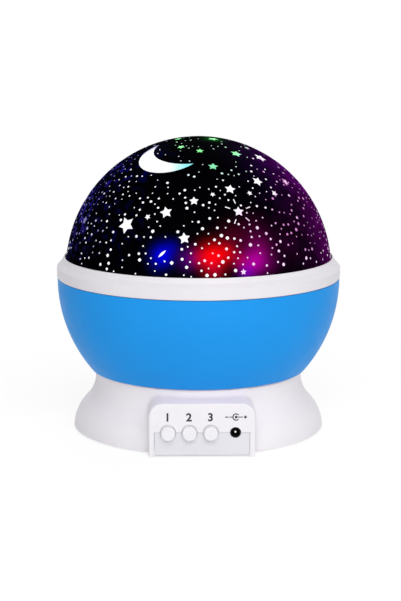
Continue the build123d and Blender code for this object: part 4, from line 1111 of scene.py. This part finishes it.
def bar(x0, z0, x1, z1, width):
    run = Vector((x1 - x0, z1 - z0)).normalized() * width / 2
    side = Vector((-run.y, run.x))
    return [
        (x0 - side.x, z0 - side.y),
        (x1 - side.x, z1 - side.y),
        (x1 + side.x, z1 + side.y),
        (x0 + side.x, z0 + side.y),
    ]


def onCircle(x, z, radius, turns):
    return [(x + radius * math.cos(a), z + radius * math.sin(a)) for a in turns]


def arcBand(x, z, radius, width, start, end):
    steps = polarity["arcSteps"]
    turns = [math.radians(start + (end - start) * i / steps) for i in range(steps + 1)]
    inner = onCircle(x, z, radius - width / 2, turns)
    return onCircle(x, z, radius + width / 2, turns) + inner[::-1]


x, z = polarity["centre"]
ring, dot, stroke, sign = (polarity[key] for key in ("ring", "dot", "stroke", "sign"))
half, gap, sides = sign / 2, polarity["gap"], polarity["dotSides"]
signAt = polarity["reach"] - half
thin = stroke * polarity["thinner"]
panelMesh(
    "polarityMark",
    [
        arcBand(x, z, ring, stroke, *polarity["opening"]),
        onCircle(x, z, dot, [math.tau * i / sides for i in range(sides)]),
        bar(x + dot * polarity["thinner"], z, x + signAt - half - gap, z, thin),
        bar(x - ring, z, x - signAt + half + gap, z, thin),
        bar(x - signAt - half, z, x - signAt + half, z, stroke),
        bar(x + signAt - half, z, x + signAt + half, z, stroke),
        bar(x + signAt, z - half, x + signAt, z + half, stroke),
    ],
)

for number, x in enumerate(numerals["places"], start=1):
    text = bpy.data.curves.new("numeral", "FONT")
    text.body = str(number)
    text.extrude = panel["thick"]
    text.offset = numerals["bold"]
    text.resolution_u = numerals["resolution"]
    mesh = plainMesh(linked("numeral", text))
    xs, ys = [v.co.x for v in mesh.vertices], [v.co.y for v in mesh.vertices]
    size = numerals["tall"] * mm / (max(ys) - min(ys))
    shift = Vector((-(max(xs) + min(xs)) / 2, -(max(ys) + min(ys)) / 2, 0))
    for v in mesh.vertices:
        flatPoint = (v.co + shift) * size
        side = 1 if v.co.z > 0 else -1
        depth = (panel["face"] - side * panel["thick"]) * mm
        v.co = (x * mm + flatPoint.x, depth, numerals["height"] * mm + flatPoint.y)
    mesh.materials.append(printDark)
    cleanMesh(mesh)
    piece = linked(f"numeral{number}", mesh)
    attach(piece, "base_unit")
print("panel printed")

# small parts soldered on the boards: a ceramic block with a bright cap at each end
chipTree, given, made = newTree(
    "chipTree",
    [
        ("Length", "Float", 1.6 * mm),
        ("Width", "Float", 0.8 * mm),
        ("Height", "Float", 0.5 * mm),
        ("Cap Length", "Float", 0.32 * mm),
        ("Body Finish", "Material", None),
        ("Cap Finish", "Material", None),
    ],
)
t = chipTree
waist = (0.92, 0.88)  # width and height of the block's body, as shares of its caps'


def chipBlock(length, width, height, sideways, cap):  # one block standing on z 0
    size = result(t, "ShaderNodeCombineXYZ", {0: length, 1: width, 2: height})
    block = result(t, "GeometryNodeMeshCube", {"Size": size})
    lift = result(t, "ShaderNodeCombineXYZ", {0: sideways, 2: times(t, height, 0.5)})
    block = result(t, "GeometryNodeTransform", {"Geometry": block, "Translation": lift})
    return stored(t, block, "cap", cap, "FACE")


body = calc(t, "SUBTRACT", given["Length"], given["Cap Length"])
bodySize = (body, times(t, given["Width"], waist[0]), times(t, given["Height"], waist[1]))
capPlace = times(t, body, 0.5)
capSize = (given["Cap Length"], given["Width"], given["Height"])
blocks = together(
    t,
    chipBlock(*bodySize, 0.0, 0.0),
    chipBlock(*capSize, capPlace, 1.0),
    chipBlock(*capSize, times(t, capPlace, -1.0), 1.0),
)
points = result(t, "GeometryNodeMeshToPoints", {"Mesh": given["Geometry"]})
block = dressed(t, repeated(t, points, blocks, spunBy(t, "spin")), given["Body Finish"])
isCap = calc(t, "GREATER_THAN", named(t, "cap"), 0.5)
plug(t, made["Geometry"], dressed(t, block, given["Cap Finish"], isCap))

chips = {
    "lightBoardTop": 63.58,
    "lightBoard": [(0, y, 0) for y in (9.8, 5.2, -5.2, -9.8)]
    + [(8.0, 8.0, -45), (-8.0, -8.0, -45)],
    "controlBoardTop": 6.98,
    "controlBoard": [(x, -54.9, 90) for x in (-18.3, -11.3, -9.0, -2.1, 0.4, 7.4, 9.3)]
    + [(x, -43.4, 90) for x in (10.0, 12.2, 14.2)]
    + [(9.6, -46.2, 0)],
    "larger": 0.25,
}
chipSpots = [
    (x, y, chips[board + "Top"], turn)
    for board in ("lightBoard", "controlBoard")
    for x, y, turn in chips[board]
]
chipPoints = pointMesh(
    "chipPoints",
    [(x * mm, y * mm, z * mm) for x, y, z, turn in chipSpots],
    size=[1.0 + chips["larger"] * (i % 3 == 1) for i in range(len(chipSpots))],
    spin=[math.radians(turn) for x, y, z, turn in chipSpots],
)
ceramic = mouldedPlastic("chipCeramic", (0.03, 0.03, 0.034), (0.35, 0.5), 0.2)
inputs = {"Body Finish": ceramic, "Cap Finish": steel}
boardChips = growPiece("boardChips", chipPoints, chipTree, inputs)
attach(boardChips, "base_unit")
print("board parts:", len(chipSpots))

# raised arrow under the battery door, pointing to its free edge
arrow = {
    "tip": 5.6,
    "length": 5.2,
    "wide": 6.4,
    "door": 1.0,
    "sunk": 0.05,
    "raised": 0.28,
    "chamfer": 0.25,
}
verts = []
for z, inward in (
    (arrow["door"] + arrow["sunk"], 0),
    (arrow["door"] - arrow["raised"], arrow["chamfer"]),
):
    aside = (arrow["wide"] / 2 - 2 * inward) * mm
    tail = (arrow["tip"] + arrow["length"] - inward) * mm
    tip = (arrow["tip"] + 2 * inward) * mm
    verts += [(0, tip, z * mm), (aside, tail, z * mm), (-aside, tail, z * mm)]
faces = [(0, 1, 2), (3, 5, 4), (0, 3, 4, 1), (1, 4, 5, 2), (2, 5, 3, 0)]
doorArrow = newMesh("doorArrow", verts, faces, coverWhite)
cleanMesh(doorArrow.data)
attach(doorArrow, "door_unit")
print("door marked")

# floor, light and world
studio = {
    "floorSize": 6,
    "floorColor": (0.86, 0.86, 0.865, 1),
    "shown": 0.32,
    "lift": 0.735,
    "fade": (0.07, 0.22),
    "world": 0.38,
    "worldColor": (0.98, 0.98, 1, 1),
}


def endTree(tree, kind, other, seen):  # camera, glossy and transmission rays get what is seen
    path = tree.nodes.new("ShaderNodeLightPath").outputs
    seeing = calc(tree, "MAXIMUM", path["Is Camera Ray"], path["Is Glossy Ray"])
    seeing = calc(tree, "MAXIMUM", seeing, path["Is Transmission Ray"])
    mixed = result(tree, "ShaderNodeMixShader", {0: seeing, 1: other, 2: seen})
    addNode(tree, "ShaderNodeOutput" + kind, {"Surface": mixed})


half = studio["floorSize"] / 2
corners = [(-half, -half, 0), (half, -half, 0), (half, half, 0), (-half, half, 0)]
floor = newMesh("floor", corners, [(0, 1, 2, 3)])
floorMaterial = bpy.data.materials.new("floor")
floorMaterial.use_nodes = True
tree = floorMaterial.node_tree
tree.nodes.clear()
plain = result(tree, "ShaderNodeBsdfDiffuse", {"Color": studio["floorColor"]})
faint = result(tree, "ShaderNodeBsdfDiffuse", {"Color": (studio["shown"],) * 3 + (1,)})
bright = result(tree, "ShaderNodeEmission", {"Strength": studio["lift"]})
near = result(tree, "ShaderNodeAddShader", {0: faint, 1: bright})
far = result(tree, "ShaderNodeEmission", {"Strength": 1.0})
fade = between(tree, vecCalc(tree, "LENGTH", place(tree)), *studio["fade"])
seen = result(tree, "ShaderNodeMixShader", {0: fade, 1: near, 2: far})
endTree(tree, "Material", plain, seen)
floor.data.materials.append(floorMaterial)

world = bpy.data.worlds.new("studio")
world.use_nodes = True
scene.world = world
tree = world.node_tree
tree.nodes.clear()
inputs = {"Color": studio["worldColor"], "Strength": studio["world"]}
even = result(tree, "ShaderNodeBackground", inputs)
white = result(tree, "ShaderNodeBackground", {"Color": (1, 1, 1, 1), "Strength": 1.0})
endTree(tree, "World", even, white)

lights = [  # name, azimuth, elevation, distance, size, watts
    ("front", 4, 20, 1.1, 1.0, 4.95),
    ("above", 4, 48, 1.1, 1.0, 3.65),
    ("right", 80, 24, 1.1, 0.9, 1.25),
    ("left", -72, 30, 1.2, 0.9, 0.45),
    ("behind", 180, 45, 1.3, 1.0, 4.4),
]
for name, azimuth, elevation, distance, size, watts in lights:
    data = bpy.data.lights.new(name, "AREA")
    data.shape = "SQUARE"
    data.size, data.energy = size, watts
    aimed(name, data, azimuth, elevation, distance)
print("studio ready")
